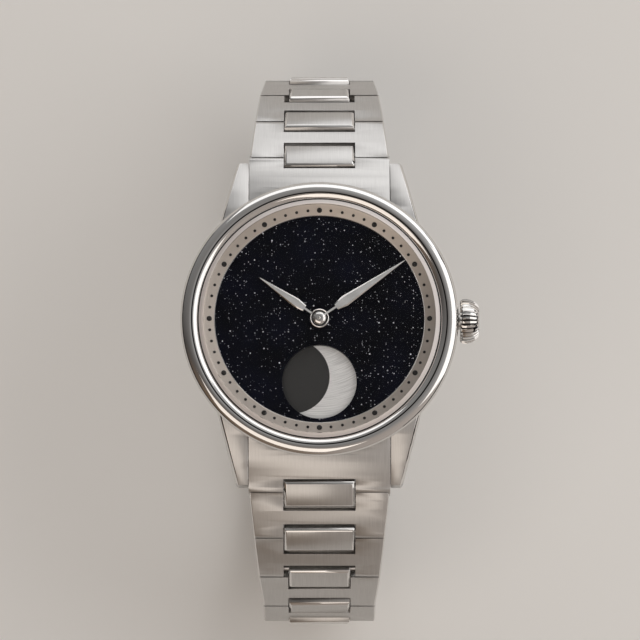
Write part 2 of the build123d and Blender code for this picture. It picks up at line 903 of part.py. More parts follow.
def make_mainplate():
    plate = disc(movement_radius, plate_low, plate_high)
    flange_low = plate_high - movement_flange_thickness
    plate += ring(movement_flange_radius, movement_radius, flange_low, plate_high)
    hole = pivot_radius + pivot_clearance
    for place in arbor_places:
        plate -= disc(hole, plate_low, pivot_high, place)
    plate -= disc(barrel_arbor_radius + pivot_clearance, plate_low, pivot_high, barrel_place)
    plate -= disc(centre_arbor_radius + pivot_clearance, plate_low, plate_high)
    for place in (minute_arbor, moon_idler_place):
        plate -= disc(hole, plate_high - pivot_depth, plate_high, place)
    for place in (*foot_places, cock_foot_place):
        plate -= disc(screw_radius, plate_low, bridge_low + screw_length, place)
    reach = winding_pinion_radius + slip
    plate -= lying_rod(
        reach, winding_pinion_start - slip, winding_pinion_end + slip, 0, crown_height)
    return plate


def make_movement_ring():
    low = bridge_low + movement_ring_start
    step = plate_high + movement_ring_step
    flange_low = plate_high - movement_flange_thickness
    body = disc(dial_edge_radius, low, dial_plate_low)
    body -= disc(movement_radius + flange_clearance, low, dial_plate_low)
    body -= disc(movement_flange_radius + flange_clearance, flange_low, dial_plate_low)
    body -= disc(moon_edge_radius + moon_wall_gap, step, dial_plate_low)
    body -= lying_rod(stem_hole_radius, 0, movement_bore + overrun, 0, crown_height)
    foot_circle = (movement_bore + moon_edge_radius) / 2
    for angle in dial_foot_angles:
        body -= disc(
            dial_foot_radius + pivot_clearance, dial_plate_low - dial_foot_length,
            dial_plate_low, turned(foot_circle, angle))
    return body


def spiral_strip(inner, outer, turns, thickness, start):
    """A flat spiral band as a plan view."""
    count = turns * spiral_step_count
    near = []
    far = []
    for index in range(count + 1):
        radius = inner + (outer - inner) * index / count
        angle = start + index * 360 / spiral_step_count
        near.append(turned(radius, angle))
        far.append(turned(radius + thickness, angle))
    return make_face(Polyline(*near, *reversed(far), close=True))


def make_barrel():
    """The toothed drum, its lid, its arbor and the mainspring inside."""
    low = bridge_high + barrel_rise
    high = low + barrel_thickness
    lid_top = low + barrel_lid
    inner = barrel_drum_radius - barrel_wall
    teeth_low = high - barrel_teeth_thickness
    hole = barrel_arbor_radius + pivot_clearance
    drum = disc(barrel_drum_radius, lid_top, high, barrel_place)
    drum += gear(
        barrel_teeth, barrel_module, teeth_low, high,
        meshed_phase(0, barrel_module, centre_pinion_teeth, barrel_teeth, barrel_angle),
        barrel_place)
    drum -= disc(inner, lid_top, high - barrel_lid, barrel_place)
    drum -= disc(hole, lid_top, high, barrel_place)
    lid = ring(barrel_drum_radius, hole, low, lid_top, barrel_place)
    arbor_rod = disc(barrel_arbor_radius, pivot_low, pivot_high, barrel_place)
    strip = spiral_strip(
        mainspring_inner, inner - mainspring_inset, mainspring_turn_count, mainspring_thickness, 0)
    spring = Pos(barrel_place[0], barrel_place[1], 0) * plan_prism(
        strip, lid_top + slip, high - barrel_lid - slip)
    return solids_of(drum, lid, arbor_rod, spring)


def make_centre_wheel():
    low = bridge_high + centre_wheel_rise
    high = low + centre_wheel_thickness
    wheel = gear(centre_wheel_teeth, centre_module, low, high, 0)
    for window in wheel_windows(centre_module * centre_wheel_teeth / 2, low, high, (0, 0)):
        wheel -= window
    wheel += gear(
        centre_pinion_teeth, barrel_module, bridge_high + centre_pinion_rise,
        bridge_high + barrel_rise + barrel_thickness, 0)
    wheel += disc(centre_arbor_radius, pivot_low, dial_height + centre_arbor_rise)
    return wheel


def make_train_wheel(place, wheel_teeth, wheel_module, wheel_low, wheel_high,
                     pinion_teeth, pinion_module, pinion_low, pinion_high, pinion_phase):
    wheel = gear(wheel_teeth, wheel_module, wheel_low, wheel_high, 0, place)
    for window in wheel_windows(wheel_module * wheel_teeth / 2, wheel_low, wheel_high, place):
        wheel -= window
    wheel += gear(pinion_teeth, pinion_module, pinion_low, pinion_high, pinion_phase, place)
    return wheel + arbor(place)


def make_third_wheel():
    wheel_low = bridge_high + third_wheel_rise
    pinion_low = bridge_high + third_pinion_rise
    return make_train_wheel(
        third_place, third_wheel_teeth, third_module,
        wheel_low, wheel_low + third_wheel_thickness,
        third_pinion_teeth, centre_module, pinion_low, pinion_low + third_pinion_thickness,
        meshed_phase(0, centre_module, centre_wheel_teeth, third_pinion_teeth, third_angle))


def make_fourth_wheel():
    wheel_low = bridge_high + fourth_wheel_rise
    pinion_low = bridge_high + fourth_pinion_rise
    return make_train_wheel(
        fourth_place, fourth_wheel_teeth, fourth_module,
        wheel_low, wheel_low + fourth_wheel_thickness,
        fourth_pinion_teeth, third_module, pinion_low, pinion_low + fourth_pinion_thickness,
        meshed_phase(0, third_module, third_wheel_teeth, fourth_pinion_teeth, fourth_angle))


def make_escape_wheel():
    low = bridge_high + escape_rise
    high = low + escape_thickness
    pinion_low = bridge_high + escape_pinion_rise
    step = 360 / escape_wheel_teeth
    corners = []
    for index in range(escape_wheel_teeth):
        angle = lever_angle + (index + 1 / 2) * step
        corners.append(turned(escape_radius - escape_tooth_depth, angle - step / 2))
        corners.append(turned(escape_radius, angle + step * escape_tooth_share))
        corners.append(turned(escape_radius - escape_tooth_depth, angle + step / 2))
    wheel = Pos(escape_place[0], escape_place[1], 0) * plan_prism(
        make_face(Polyline(*dict.fromkeys(corners), close=True)), low, high)
    for window in wheel_windows(escape_radius - escape_tooth_depth, low, high, escape_place):
        wheel -= window
    wheel += gear(
        escape_pinion_teeth, fourth_module, pinion_low, pinion_low + escape_pinion_thickness,
        meshed_phase(0, fourth_module, fourth_wheel_teeth, escape_pinion_teeth, escape_angle),
        escape_place)
    return wheel + arbor(escape_place)


def make_pallet_fork():
    """The lever with its two pallets, drawn with the balance towards +Y and then turned."""
    low = bridge_high + escape_rise
    high = low + escape_thickness
    tip = balance_reach - fork_reach - fork_tip_gap
    half = fork_width / 2
    half_tip = fork_tip_width / 2
    half_notch = fork_notch_width / 2
    heights = (low, high)
    fork = block((-half, half), (-fork_arm_width, tip), heights)
    fork += block((-half_tip, half_tip), (tip - fork_notch_depth, tip), heights)
    fork -= block((-half_notch, half_notch), (tip - fork_notch_depth, tip), heights)
    fork += block(
        (-pallet_spread, pallet_spread), (-fork_arm_width, fork_arm_width), heights)
    for side in (-1, 1):
        middle = side * (pallet_spread - pallet_width / 2)
        fork += block(
            (middle - pallet_width / 2, middle + pallet_width / 2),
            (-pallet_drop, -fork_arm_width), heights)
    fork = Pos(fork_place[0], fork_place[1], 0) * Rot(0, 0, lever_angle - 90) * fork
    return fork + arbor(fork_place)


def stud_place():
    reach = hairspring_outer + hairspring_thickness + stud_radius
    return shifted(balance_place, reach, cock_run()[1])


def make_balance_wheel():
    low = bridge_high + balance_rise
    high = low + balance_thickness
    wheel = ring(balance_radius, balance_radius - balance_rim, low, high)
    half = balance_spoke_width / 2
    reach = balance_radius - balance_rim / 2
    wheel += block((-reach, reach), (-half, half), (low, high))
    wheel += disc(pivot_radius, pivot_low, pivot_high)
    roller_low = bridge_high + roller_rise
    wheel += disc(roller_radius, roller_low, roller_low + roller_thickness)
    hairspring_low = bridge_high + hairspring_rise
    wheel += disc(hairspring_inner, hairspring_low, low)
    return Pos(balance_place[0], balance_place[1], 0) * wheel


def make_hairspring():
    low = bridge_high + hairspring_rise
    start = cock_run()[1] - hairspring_turn_count * 360
    strip = spiral_strip(
        hairspring_inner, hairspring_outer, hairspring_turn_count, hairspring_thickness, start)
    return Pos(balance_place[0], balance_place[1], 0) * plan_prism(
        strip, low, low + hairspring_height)


def make_rotor():
    rim_top = rotor_low + rotor_rim_thickness
    plate_top = rotor_low + rotor_plate
    hub_top = rotor_low + rotor_hub_thickness
    inner = rotor_radius - rotor_rim_width
    far = rotor_radius + overrun
    weight = disc(rotor_radius, rotor_low, plate_top)
    weight += ring(rotor_radius, inner, plate_top, rim_top)
    weight -= block((-far, far), (0, far), (rotor_low, rim_top))
    weight += disc(rotor_hub_radius, rotor_low, hub_top)
    return weight - disc(rotor_post_radius + pivot_clearance, rotor_low, hub_top)


# Crown and winding work
def fluted_section(radius, depth):
    """The crown's cross-section, one arc for each flute."""
    step = 360 / crown_flute_count
    arcs = []
    for index in range(crown_flute_count):
        first = turned(radius - depth, index * step)
        middle = turned(radius, (index + 1 / 2) * step)
        last = turned(radius - depth, (index + 1) * step)
        arcs.append(ThreePointArc(first, middle, last))
    return make_face(Curve() + arcs)


def make_crown():
    sections = []
    for length_share, radius_share, depth_share in crown_profile_shares:
        radius = crown_end_radius + (crown_radius - crown_end_radius) * radius_share
        section = fluted_section(radius, crown_flute_depth * depth_share)
        sections.append(Pos(0, 0, crown_length * length_share) * section)
    body = loft(sections)
    body -= disc(crown_recess_radius, -overrun, crown_recess_depth)
    body -= disc(stem_radius, 0, stem_end - crown_start)
    return Pos(crown_start, 0, crown_height) * Rot(0, 90, 0) * body


def make_crown_stem():
    stem = lying_rod(stem_radius, stem_square_end, stem_end, 0, crown_height)
    half = stem_square / 2
    stem += block(
        (stem_start, stem_square_end), (-half, half), (crown_height - half, crown_height + half))
    return stem


def make_winding_pinion():
    pinion = lying_rod(
        winding_pinion_radius, winding_pinion_start, winding_pinion_end, 0, crown_height)
    half = stem_square / 2 + winding_pinion_clearance
    pinion -= block(
        (winding_pinion_start, winding_pinion_end), (-half, half),
        (crown_height - half, crown_height + half))
    return pinion


def make_crown_tube():
    tube = lying_rod(crown_tube_radius, crown_tube_start, crown_tube_end, 0, crown_height)
    return tube - lying_rod(crown_tube_bore, crown_tube_start, crown_tube_end, 0, crown_height)


def make_crown_gasket():
    end = crown_gasket_start + crown_gasket_length
    outer = lying_rod(crown_recess_radius, crown_gasket_start, end, 0, crown_height)
    inner = lying_rod(
        crown_tube_radius + crown_gasket_clearance, crown_gasket_start, end, 0, crown_height)
    return outer - inner


# Bracelet: each link is drawn with its hinge on the X axis and reaching along +Y
def hinge_chain():
    """Place and slope of each hinge from the end link to the clasp."""
    chain = []
    y, height = first_hinge
    for slope in (*link_angles, clasp_angle):
        chain.append((y, height, slope))
        y += link_pitch * math.cos(math.radians(slope))
        height -= link_pitch * math.sin(math.radians(slope))
    return chain


def hung(shape, hinge, side):
    """A link placed at its hinge on the 12 o'clock side, or on the 6 o'clock side for -1."""
    y, height, slope = hinge
    placed = Pos(0, y, height) * Rot(-slope, 0, 0) * shape
    return placed if side > 0 else Rot(0, 0, 180) * placed


def block_width(index):
    return wide_block_width if index < wide_block_count else narrow_block_width


def notch_half(index):
    return block_width(index) / 2 + block_side_gap


def link_body_profile():
    """A link from the side: flat below, its crowned top running smoothly into its round ends."""
    half = link_radius
    span = link_pitch / 2
    tilt = math.atan2(span, (span ** 2 - link_bulge ** 2) / (link_bulge * 2))
    side = half * math.sin(tilt)
    rise = half * math.cos(tilt)
    top = ThreePointArc((-side, rise), (span, half + link_bulge), (link_pitch + side, rise))
    rest = Polyline(
        (link_pitch + side, rise), (link_pitch, 0), (link_pitch, -half), (0, -half), (0, 0),
        (-side, rise))
    return make_face(Curve() + [top, rest])


def side_bar_profile():
    outline = link_body_profile() + Pos(link_pitch, 0) * Circle(link_radius)
    return outline - Circle(link_radius + link_gap)


def cross_bar_profile():
    start = block_tongue_length + cross_bar_gap
    tongue_room = Pos(start - link_pitch, 0) * Rectangle(link_pitch * 2, link_pitch)
    outline = link_body_profile() - tongue_room
    return outline - Pos(link_pitch, 0) * Circle(notch_radius)


def block_profile():
    half = link_radius
    outline = make_face(Polyline(
        (0, -half), (block_tongue_length, -half), (block_tongue_length, block_tongue_rise),
        (block_length, block_tongue_rise), (block_length, block_top),
        (-block_near_length, block_top), (-block_near_length, 0), (0, 0), close=True))
    return outline + Circle(half)


def top_edges(shape, height, inside, along):
    """Edges near one height, beyond a half width, that are at least so long along Y."""
    reach = link_bulge + slip
    found = []
    for edge in shape.edges():
        middle = edge.center()
        size = edge.bounding_box().size
        level = abs(middle.Z - height) < reach and size.Z < reach
        if level and abs(middle.X) >= inside and size.Y >= along:
            found.append(edge)
    return found


def make_link_frame(index):
    start_half = link_widths[index] / 2
    end_half = link_widths[index + 1] / 2
    notch = notch_half(index)
    next_notch = notch_half(index + 1)
    bars = side_prism(side_bar_profile(), -start_half, start_half)
    gap = block(
        (-notch, notch), (-link_pitch, link_pitch + link_radius * 2), (-link_pitch, link_pitch))
    bars -= gap
    if next_notch > notch:
        bars -= block(
            (-next_notch, next_notch), (link_pitch - notch_radius, link_pitch * 2),
            (-link_pitch, link_pitch))
    frame = bars + side_prism(cross_bar_profile(), -notch, notch)
    reach = link_pitch + link_radius
    taper = make_face(Polyline(
        (-start_half, 0), (start_half, 0), (end_half, link_pitch), (end_half, reach),
        (-end_half, reach), (-end_half, link_pitch), close=True))
    frame &= plan_prism(taper, -link_pitch, link_pitch)
    outer = top_edges(frame, link_radius, notch + bar_bevel, link_radius)
    frame = chamfer(outer, bar_bevel)
    for rod in pin_rods(index):
        frame -= rod
    return frame


def pin_rods(index):
    """The fixing pin of this link and the hinge pin that carries the next one."""
    fixing_half = link_widths[index] / 2 - fixing_pin_inset
    hinge_half = link_widths[index + 1] / 2 - pin_end_gap
    return [
        lying_rod(
            fixing_pin_radius, -fixing_half, fixing_half, fixing_pin_reach, -fixing_pin_drop),
        lying_rod(hinge_pin_radius, -hinge_half, hinge_half, link_pitch, 0)]


def make_centre_block(index):
    half = block_width(index) / 2
    body = side_prism(block_profile(), -half, half)
    body = chamfer(top_edges(body, block_top, 0, 0), block_bevel)
    body -= lying_rod(hinge_pin_radius + pin_clearance, -half, half, 0, 0)
    return body - lying_rod(fixing_pin_radius, -half, half, fixing_pin_reach, -fixing_pin_drop)


def make_link(index):
    return solids_of(make_link_frame(index), make_centre_block(index), *pin_rods(index))


def make_end_link():
    """The end link of the 12 o'clock side and the first hinge pin, which it carries."""
    y, height = first_hinge
    floor = dial_height - end_link_floor_drop
    half = lug_inner - end_link_side_gap
    start = lug_point(lug_line_start[0], lug_line_start[1] + end_link_step)
    end = lug_point(lug_line_end[0], lug_line_end[1] + end_link_step)
    outline = make_face(Curve() + [top_line(end_link_step), Polyline(
        end, first_hinge, (y, height - link_radius),
        (case_radius + end_link_start_reach, floor), (start[0], floor), start)])
    outline += Pos(y, height) * Circle(link_radius)
    body = side_prism(outline, -half, half)
    notch = notch_half(0)
    body -= lying_rod(notch_radius, -notch, notch, y, height)
    body -= block(
        (-notch, notch), (y, y + link_pitch), (height - link_pitch, height + link_pitch))
    body -= disc(case_radius + slip, 0, bezel_seat + overrun)
    body -= lying_rod(
        spring_bar_radius + pin_clearance, -lug_inner, lug_inner,
        spring_bar_y, dial_height - spring_bar_drop)
    pin_half = link_widths[0] / 2 - pin_end_gap
    pin = lying_rod(hinge_pin_radius, -pin_half, pin_half, y, height)
    return solids_of(body - pin, pin)


def make_spring_bars():
    height = dial_height - spring_bar_drop
    body_half = lug_inner - spring_bar_step
    tip_reach = lug_inner + spring_bar_tip_length - slip
    bars = []
    for side in (1, -1):
        y = side * spring_bar_y
        bars.append(
            lying_rod(spring_bar_radius, -body_half, body_half, y, height)
            + lying_rod(spring_bar_tip_radius, -tip_reach, tip_reach, y, height))
    return solids_of(*bars)


# Clasp: drawn in place under the case, where the two chains end
def clasp_height():
    return hinge_chain()[-1][1]


def clasp_reach():
    return hinge_chain()[-1][0]


def clasp_level(rise):
    return clasp_height() + rise


def make_clasp_cover():
    far = clasp_reach() - clasp_end_gap
    half = link_widths[-1] / 2
    inner_half = half - clasp_wall
    low = clasp_level(-clasp_under)
    floor = low + clasp_floor
    top = clasp_level(clasp_wall_top)
    cover = block((-half, half), (-far, far), (low, top))
    cover -= block((-inner_half, inner_half), (-far + clasp_end_wall, far), (floor, top))
    ends = [edge for edge in cover.edges() if edge.center().Z < low + slip
            and abs(edge.center().Y) > far - slip]
    cover = chamfer(ends, clasp_end_bevel)
    lug_half = clasp_eye_half()
    cover += block(
        (-lug_half, lug_half), (cradle_gap - clasp_reach(), slip - far),
        (clasp_level(-clasp_lug_radius), top))
    cover -= lying_rod(
        hinge_pin_radius + cradle_clearance, -half, half, -clasp_reach(), clasp_height())
    hinge_y = far - cover_knuckle_inset
    hinge_height = clasp_level(-cover_knuckle_drop)
    pin_half = half - pin_end_gap
    pin = lying_rod(blade_pin_radius, -pin_half, pin_half, hinge_y, hinge_height)
    return solids_of(cover - pin, pin)


def clasp_eye_half():
    """Half the width of what enters the last link's fork at either end of the clasp."""
    return block_width(len(link_angles)) / 2


def make_middle_blade():
    far = clasp_reach() - clasp_end_gap
    half = middle_blade_width / 2
    low = clasp_level(-middle_blade_drop)
    hinge_y = far - cover_knuckle_inset
    hinge_height = clasp_level(-cover_knuckle_drop)
    fork_height = clasp_level(-blade_knuckle_drop)
    fork_half = inner_blade_width / 2 + blade_fork_gap
    blade = block((-half, half), (-blade_knuckle_y, hinge_y), (low, low + blade_thickness))
    blade += lying_rod(cover_knuckle_radius, -half, half, hinge_y, hinge_height)
    blade += lying_rod(blade_knuckle_radius, -half, half, -blade_knuckle_y, fork_height)
    blade -= block(
        (-fork_half, fork_half), (-blade_knuckle_y - clasp_end_gap, fork_end()),
        (low - overrun, clasp_level(inner_blade_rise)))
    blade -= lying_rod(
        blade_pin_radius + pin_clearance, -half, half, hinge_y, hinge_height)
    pin_half = half - pin_end_gap
    pin = lying_rod(blade_pin_radius, -pin_half, pin_half, -blade_knuckle_y, fork_height)
    return solids_of(blade - pin, pin)


def fork_end():
    """Where the slot in the middle blade ends, past the inner blade's knuckle."""
    return -blade_knuckle_y + blade_knuckle_radius + blade_fork_gap


def make_inner_blade():
    half = inner_blade_width / 2
    top = clasp_level(inner_blade_rise)
    fork_height = clasp_level(-blade_knuckle_drop)
    eye_half = clasp_eye_half()
    blade = block(
        (-half, half), (-blade_knuckle_y, clasp_reach()), (top - blade_thickness, top))
    blade += lying_rod(blade_knuckle_radius, -half, half, -blade_knuckle_y, fork_height)
    blade += lying_rod(inner_eye_radius, -eye_half, eye_half, clasp_reach(), clasp_height())
    blade -= lying_rod(
        hinge_pin_radius + pin_clearance, -eye_half, eye_half, clasp_reach(), clasp_height())
    return blade - lying_rod(
        blade_pin_radius + pin_clearance, -half, half, -blade_knuckle_y, fork_height)


def all_parts():
    parts = {
        "case_middle": make_case_middle(),
        "bezel": make_bezel(),
        "crystal": make_crystal(),
        "case_gaskets": make_case_gaskets(),
        "case_back": make_case_back(),
        "chapter_ring": make_chapter_ring(),
        "hour_dots": make_dots(hour_dot_radius, hours),
        "minute_dots": make_dots(minute_dot_radius, minutes, minutes // hours),
        "dial": make_dial(),
        "dial_base": make_dial_base(),
        "moon_disc": make_moon_disc(moon_wheel_phase()),
        "moon_shadows": make_moon_shadows(),
        "hour_hand": make_hand(
            hour_hand_length, hour_neck_end, hour_widest_at, hour_widest, hour_hand_low,
            hour_pipe_radius, hour_hand_angle),
        "minute_hand": make_hand(
            minute_hand_length, minute_neck_end, minute_widest_at, minute_widest,
            minute_hand_low, cannon_pipe_radius, minute_hand_angle),
        "hand_cap": make_hand_cap(),
        "cannon_pinion": make_cannon_pinion(),
        "minute_wheel": make_minute_wheel(),
        "hour_wheel": make_hour_wheel(),
        "moon_idler": make_moon_idler(),
        "crown": make_crown(),
        "crown_stem": make_crown_stem(),
        "winding_pinion": make_winding_pinion(),
        "crown_tube": make_crown_tube(),
        "crown_gasket": make_crown_gasket(),
        "movement_ring": make_movement_ring(),
        "mainplate": make_mainplate(),
        "train_bridge": make_train_bridge(),
        "balance_cock": make_balance_cock(),
        "movement_screws": make_movement_screws(),
        "barrel": make_barrel(),
        "centre_wheel": make_centre_wheel(),
        "third_wheel": make_third_wheel(),
        "fourth_wheel": make_fourth_wheel(),
        "escape_wheel": make_escape_wheel(),
        "pallet_fork": make_pallet_fork(),
        "balance_wheel": make_balance_wheel(),
        "hairspring": make_hairspring(),
        "rotor": make_rotor(),
        "spring_bars": make_spring_bars(),
        "upper_end_link": make_end_link(),
        "lower_end_link": Rot(0, 0, 180) * make_end_link(),
        "clasp_cover": make_clasp_cover(),
        "clasp_middle_blade": make_middle_blade(),
        "clasp_inner_blade": make_inner_blade(),
    }
    chain = hinge_chain()
    for index in range(len(link_angles)):
        link = make_link(index)
        parts[f"upper_link_{index + 1}"] = hung(link, chain[index], 1)
        parts[f"lower_link_{index + 1}"] = hung(link, chain[index], -1)
    return parts


os.makedirs("parts", exist_ok=True)
for name, shape in all_parts().items():
    export_step(shape, f"parts/{name}.step")
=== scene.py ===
# %% [markdown]
# # A moon phase watch, dressed for a picture
# The solids of the watch come from a CAD model, in metres, with the dial facing +Z, 12 o'clock on
# +Y and the origin in the middle of the case back. Blender gives them their finishes, and each
# shape that a camera sees closely is modelled again with smoother curves. Every piece then rides
# on the body of the CAD model that moves it, so that the hands, the moon and the links still turn.

# %% Load the CAD model
import math

import bpy
from mathutils import Matrix, Vector


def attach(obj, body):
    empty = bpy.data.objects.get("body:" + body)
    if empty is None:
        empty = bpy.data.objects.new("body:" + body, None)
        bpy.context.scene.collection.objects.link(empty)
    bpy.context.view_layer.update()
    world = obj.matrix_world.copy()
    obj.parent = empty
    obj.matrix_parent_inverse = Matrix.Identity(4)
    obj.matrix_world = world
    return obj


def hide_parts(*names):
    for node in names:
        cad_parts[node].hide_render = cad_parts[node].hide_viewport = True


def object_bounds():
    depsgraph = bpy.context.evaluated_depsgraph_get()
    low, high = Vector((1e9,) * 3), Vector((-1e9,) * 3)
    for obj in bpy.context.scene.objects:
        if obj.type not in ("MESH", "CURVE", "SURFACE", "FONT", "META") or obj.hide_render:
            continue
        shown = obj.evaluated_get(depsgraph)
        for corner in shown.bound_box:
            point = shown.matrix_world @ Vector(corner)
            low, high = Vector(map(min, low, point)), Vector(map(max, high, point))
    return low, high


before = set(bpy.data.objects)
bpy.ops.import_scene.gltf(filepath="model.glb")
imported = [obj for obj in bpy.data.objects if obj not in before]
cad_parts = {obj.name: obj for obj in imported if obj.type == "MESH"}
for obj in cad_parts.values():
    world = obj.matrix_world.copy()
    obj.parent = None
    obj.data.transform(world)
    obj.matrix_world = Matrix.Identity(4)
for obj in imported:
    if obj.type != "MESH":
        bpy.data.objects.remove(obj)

cad_box = [list(corner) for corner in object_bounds()]
mm = 0.001
print("CAD nodes:", len(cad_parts), "box in mm:",
      [[round(value / mm, 2) for value in corner] for corner in cad_box])

# %% [markdown]
# ## Small tools
# An operator acts on whatever is selected, so each step begins by clearing the selection. When a
# piece is finished its place goes into its mesh, as it is for the CAD solids: a pattern that
# reads Object coordinates then has the same size and direction on every piece.

# %% Selection, clean-up and broken edges
same_corner = 0.0005 * mm


def only(*pieces):
    """Selects these pieces and nothing else, and makes the first one active."""
    if bpy.context.object and bpy.context.object.mode != "OBJECT":
        bpy.ops.object.mode_set(mode="OBJECT")
    bpy.ops.object.select_all(action="DESELECT")
    for piece in pieces:
        piece.select_set(True)
    bpy.context.view_layer.objects.active = pieces[0]


def edit(piece):
    """Opens a piece in edit mode with all of it selected."""
    only(piece)
    bpy.ops.object.mode_set(mode="EDIT")
    bpy.ops.mesh.select_all(action="SELECT")


def close_up(piece):
    """Merges doubled corners and turns all faces outwards."""
    edit(piece)
    bpy.ops.mesh.remove_doubles(threshold=same_corner)
    bpy.ops.mesh.normals_make_consistent(inside=False)
    bpy.ops.object.mode_set(mode="OBJECT")


def soften(piece, width, steps=2, limit=30, material=-1):
    """Breaks the edges sharper than a limit with a narrow bevel, as tumbling or polishing does."""
    only(piece)
    bevel = piece.modifiers.new("broken edges", "BEVEL")
    bevel.width = width * mm
    bevel.segments = steps
    bevel.limit_method = "ANGLE"
    bevel.angle_limit = math.radians(limit)
    bevel.material = material
    bevel.harden_normals = True
    bpy.ops.object.modifier_apply(modifier=bevel.name)


# %% Two materials on one piece, and the last step of every piece
def reach(face):
    """How far the middle of a face is from the dial's axis, in mm."""
    return math.hypot(face.center.x, face.center.y) / mm


def two_finishes(piece, main, second, chosen):
    """Gives a piece its main material, and the second one to each face that is chosen."""
    piece.data.materials.clear()
    piece.data.materials.append(main)
    piece.data.materials.append(second)
    for face in piece.data.polygons:
        face.material_index = int(chosen(face))


def finish_piece(piece, body, nodes, material=None, smooth=35):
    """Puts its place in the mesh, shades it, and lets it ride on a body and stand for nodes."""
    only(piece)
    bpy.ops.object.transform_apply(location=True, rotation=True, scale=True)
    bpy.ops.object.shade_smooth_by_angle(angle=math.radians(smooth))
    if material:
        piece.data.materials.clear()
        piece.data.materials.append(material)
    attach(piece, body)
    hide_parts(*nodes)


# %% [markdown]
# ## Turned shapes
# Most of a watch's head comes off a lathe. The same can be done here: one corner is pushed point by
# point along the outline of the section, as the tool would travel, and the outline is then spun
# round the axis of the dial.

# %% Draw an outline and spin it
def arc(start, middle, end, steps):
    """Points on the circle through three points, given as radius and height."""
    (ax, ay), (bx, by), (cx, cy) = start, middle, end
    turn = 2 * (ax * (by - cy) + bx * (cy - ay) + cx * (ay - by))
    a, b, c = ax * ax + ay * ay, bx * bx + by * by, cx * cx + cy * cy
    x = (a * (by - cy) + b * (cy - ay) + c * (ay - by)) / turn
    y = (a * (cx - bx) + b * (ax - cx) + c * (bx - ax)) / turn
    radius = math.hypot(ax - x, ay - y)
    first = math.atan2(ay - y, ax - x)
    sweep = math.atan2(cy - y, cx - x) - first
    sweep = (sweep + math.pi) % (2 * math.pi) - math.pi
    return [(x + radius * math.cos(first + sweep * i / steps),
             y + radius * math.sin(first + sweep * i / steps)) for i in range(steps + 1)]


def drawn(name, points):
    """Pushes one corner from point to point, and leaves the line open in edit mode."""
    bpy.ops.object.select_all(action="DESELECT")
    bpy.ops.mesh.primitive_plane_add(size=mm, location=points[0])
    piece = bpy.context.object
    piece.name = name
    bpy.ops.object.mode_set(mode="EDIT")
    bpy.ops.mesh.select_all(action="SELECT")
    bpy.ops.mesh.merge(type="CENTER")
    for here, there in zip(points, points[1:]):
        bpy.ops.mesh.extrude_vertices_move(TRANSFORM_OT_translate={"value": there - here})
    bpy.ops.mesh.select_all(action="SELECT")
    bpy.ops.mesh.remove_doubles(threshold=same_corner)
    return piece


def turned(name, outline, steps=180, closed=True):
    """A body of revolution round the dial's axis from an outline of radius and height in mm."""
    points = [Vector((radius * mm, 0, height * mm)) for radius, height in outline]
    piece = drawn(name, points + points[:1] if closed else points)
    bpy.ops.mesh.spin(steps=steps, angle=2 * math.pi, center=(0, 0, 0), axis=(0, 0, 1))
    bpy.ops.object.mode_set(mode="OBJECT")
    close_up(piece)
    bpy.ops.object.transform_apply(location=True, rotation=True, scale=True)
    return piece


# %% [markdown]
# ## Camera
# The photograph was taken with a long lens from the 6 o'clock side, tilted a little away from the
# dial's normal, so circles on the dial are almost round and the near part of the bracelet folds
# away under the case. The distance and the focal length together give the photograph's scale.

# %% Place the camera
image_width = 640
pixels_per_mm = 7.13
sensor_width = 36
distance = 600 * mm
tilt = math.radians(9.8)
dial_height = 8.0
shift_right, shift_down = 0.08, 0.1
nearest, farthest = 0.01, 20

toward_camera = Vector((0, -math.sin(tilt), math.cos(tilt)))
upward = Vector((0, math.cos(tilt), math.sin(tilt)))
aim = Vector((shift_right * mm, 0, dial_height * mm)) - upward * shift_down * mm
bpy.ops.object.select_all(action="DESELECT")
bpy.ops.object.camera_add(location=aim + toward_camera * distance)
camera = bpy.context.object
camera.rotation_mode = "QUATERNION"
camera.rotation_quaternion = toward_camera.to_track_quat("Z", "Y")
camera.data.sensor_width = sensor_width
camera.data.lens = sensor_width * pixels_per_mm * distance / mm / image_width
camera.data.clip_start = nearest
camera.data.clip_end = farthest
bpy.context.scene.camera = camera
bpy.context.scene.view_settings.view_transform = "Standard"
print("lens", round(camera.data.lens, 1), "mm at", round(distance, 3), "m")

# %% [markdown]
# ## Colours and shader nodes
# Colours are written as sRGB hex values, the way a colour picker shows them, and one function
# turns them into the linear numbers that a renderer mixes. A second function adds any shader node
# together with its settings and its links, which keeps each material short enough to read. In a
# Mix node the socket 0 takes the share, the sockets 6 and 7 take the two colours, and the output
# 2 gives their mixture.

# %% Colour and node helpers
def linear(hex_colour):
    """Linear RGBA from an sRGB hex value such as "c9c6c3"."""
    channels = [int(hex_colour[i:i + 2], 16) / 255 for i in (0, 2, 4)]
    return tuple(c / 12.92 if c <= 0.04045 else ((c + 0.055) / 1.055) ** 2.4
                 for c in channels) + (1.0,)


def set_values(node, values):
    """Sets sockets of a node, named by their labels or numbers."""
    for socket, value in values.items():
        node.inputs[socket].default_value = value


def add_node(tree, kind, inputs=None, links=None, stops=(), **settings):
    """Adds a node with its options, its sockets' values and links, and a colour ramp's stops."""
    node = tree.nodes.new(kind)
    for option, value in settings.items():
        setattr(node, option, value)
    set_values(node, inputs or {})
    for socket, source in (links or {}).items():
        tree.links.new(source, node.inputs[socket])
    if stops:
        first, last = node.color_ramp.elements
        first.position, first.color = stops[0]
        last.position, last.color = stops[-1]
    for place, colour in stops[1:-1]:
        node.color_ramp.elements.new(place).color = colour
    return node


def new_material(name):
    """An empty material: itself, its node tree and its Principled shader."""
    material = bpy.data.materials.new(name)
    material.use_nodes = True
    return material, material.node_tree, material.node_tree.nodes["Principled BSDF"]


def plain(name, colour, values):
    """A material without a pattern: one colour, and a value for each named socket."""
    material, _, shader = new_material(name)
    set_values(shader, {"Base Color": linear(colour), **values})
    return material


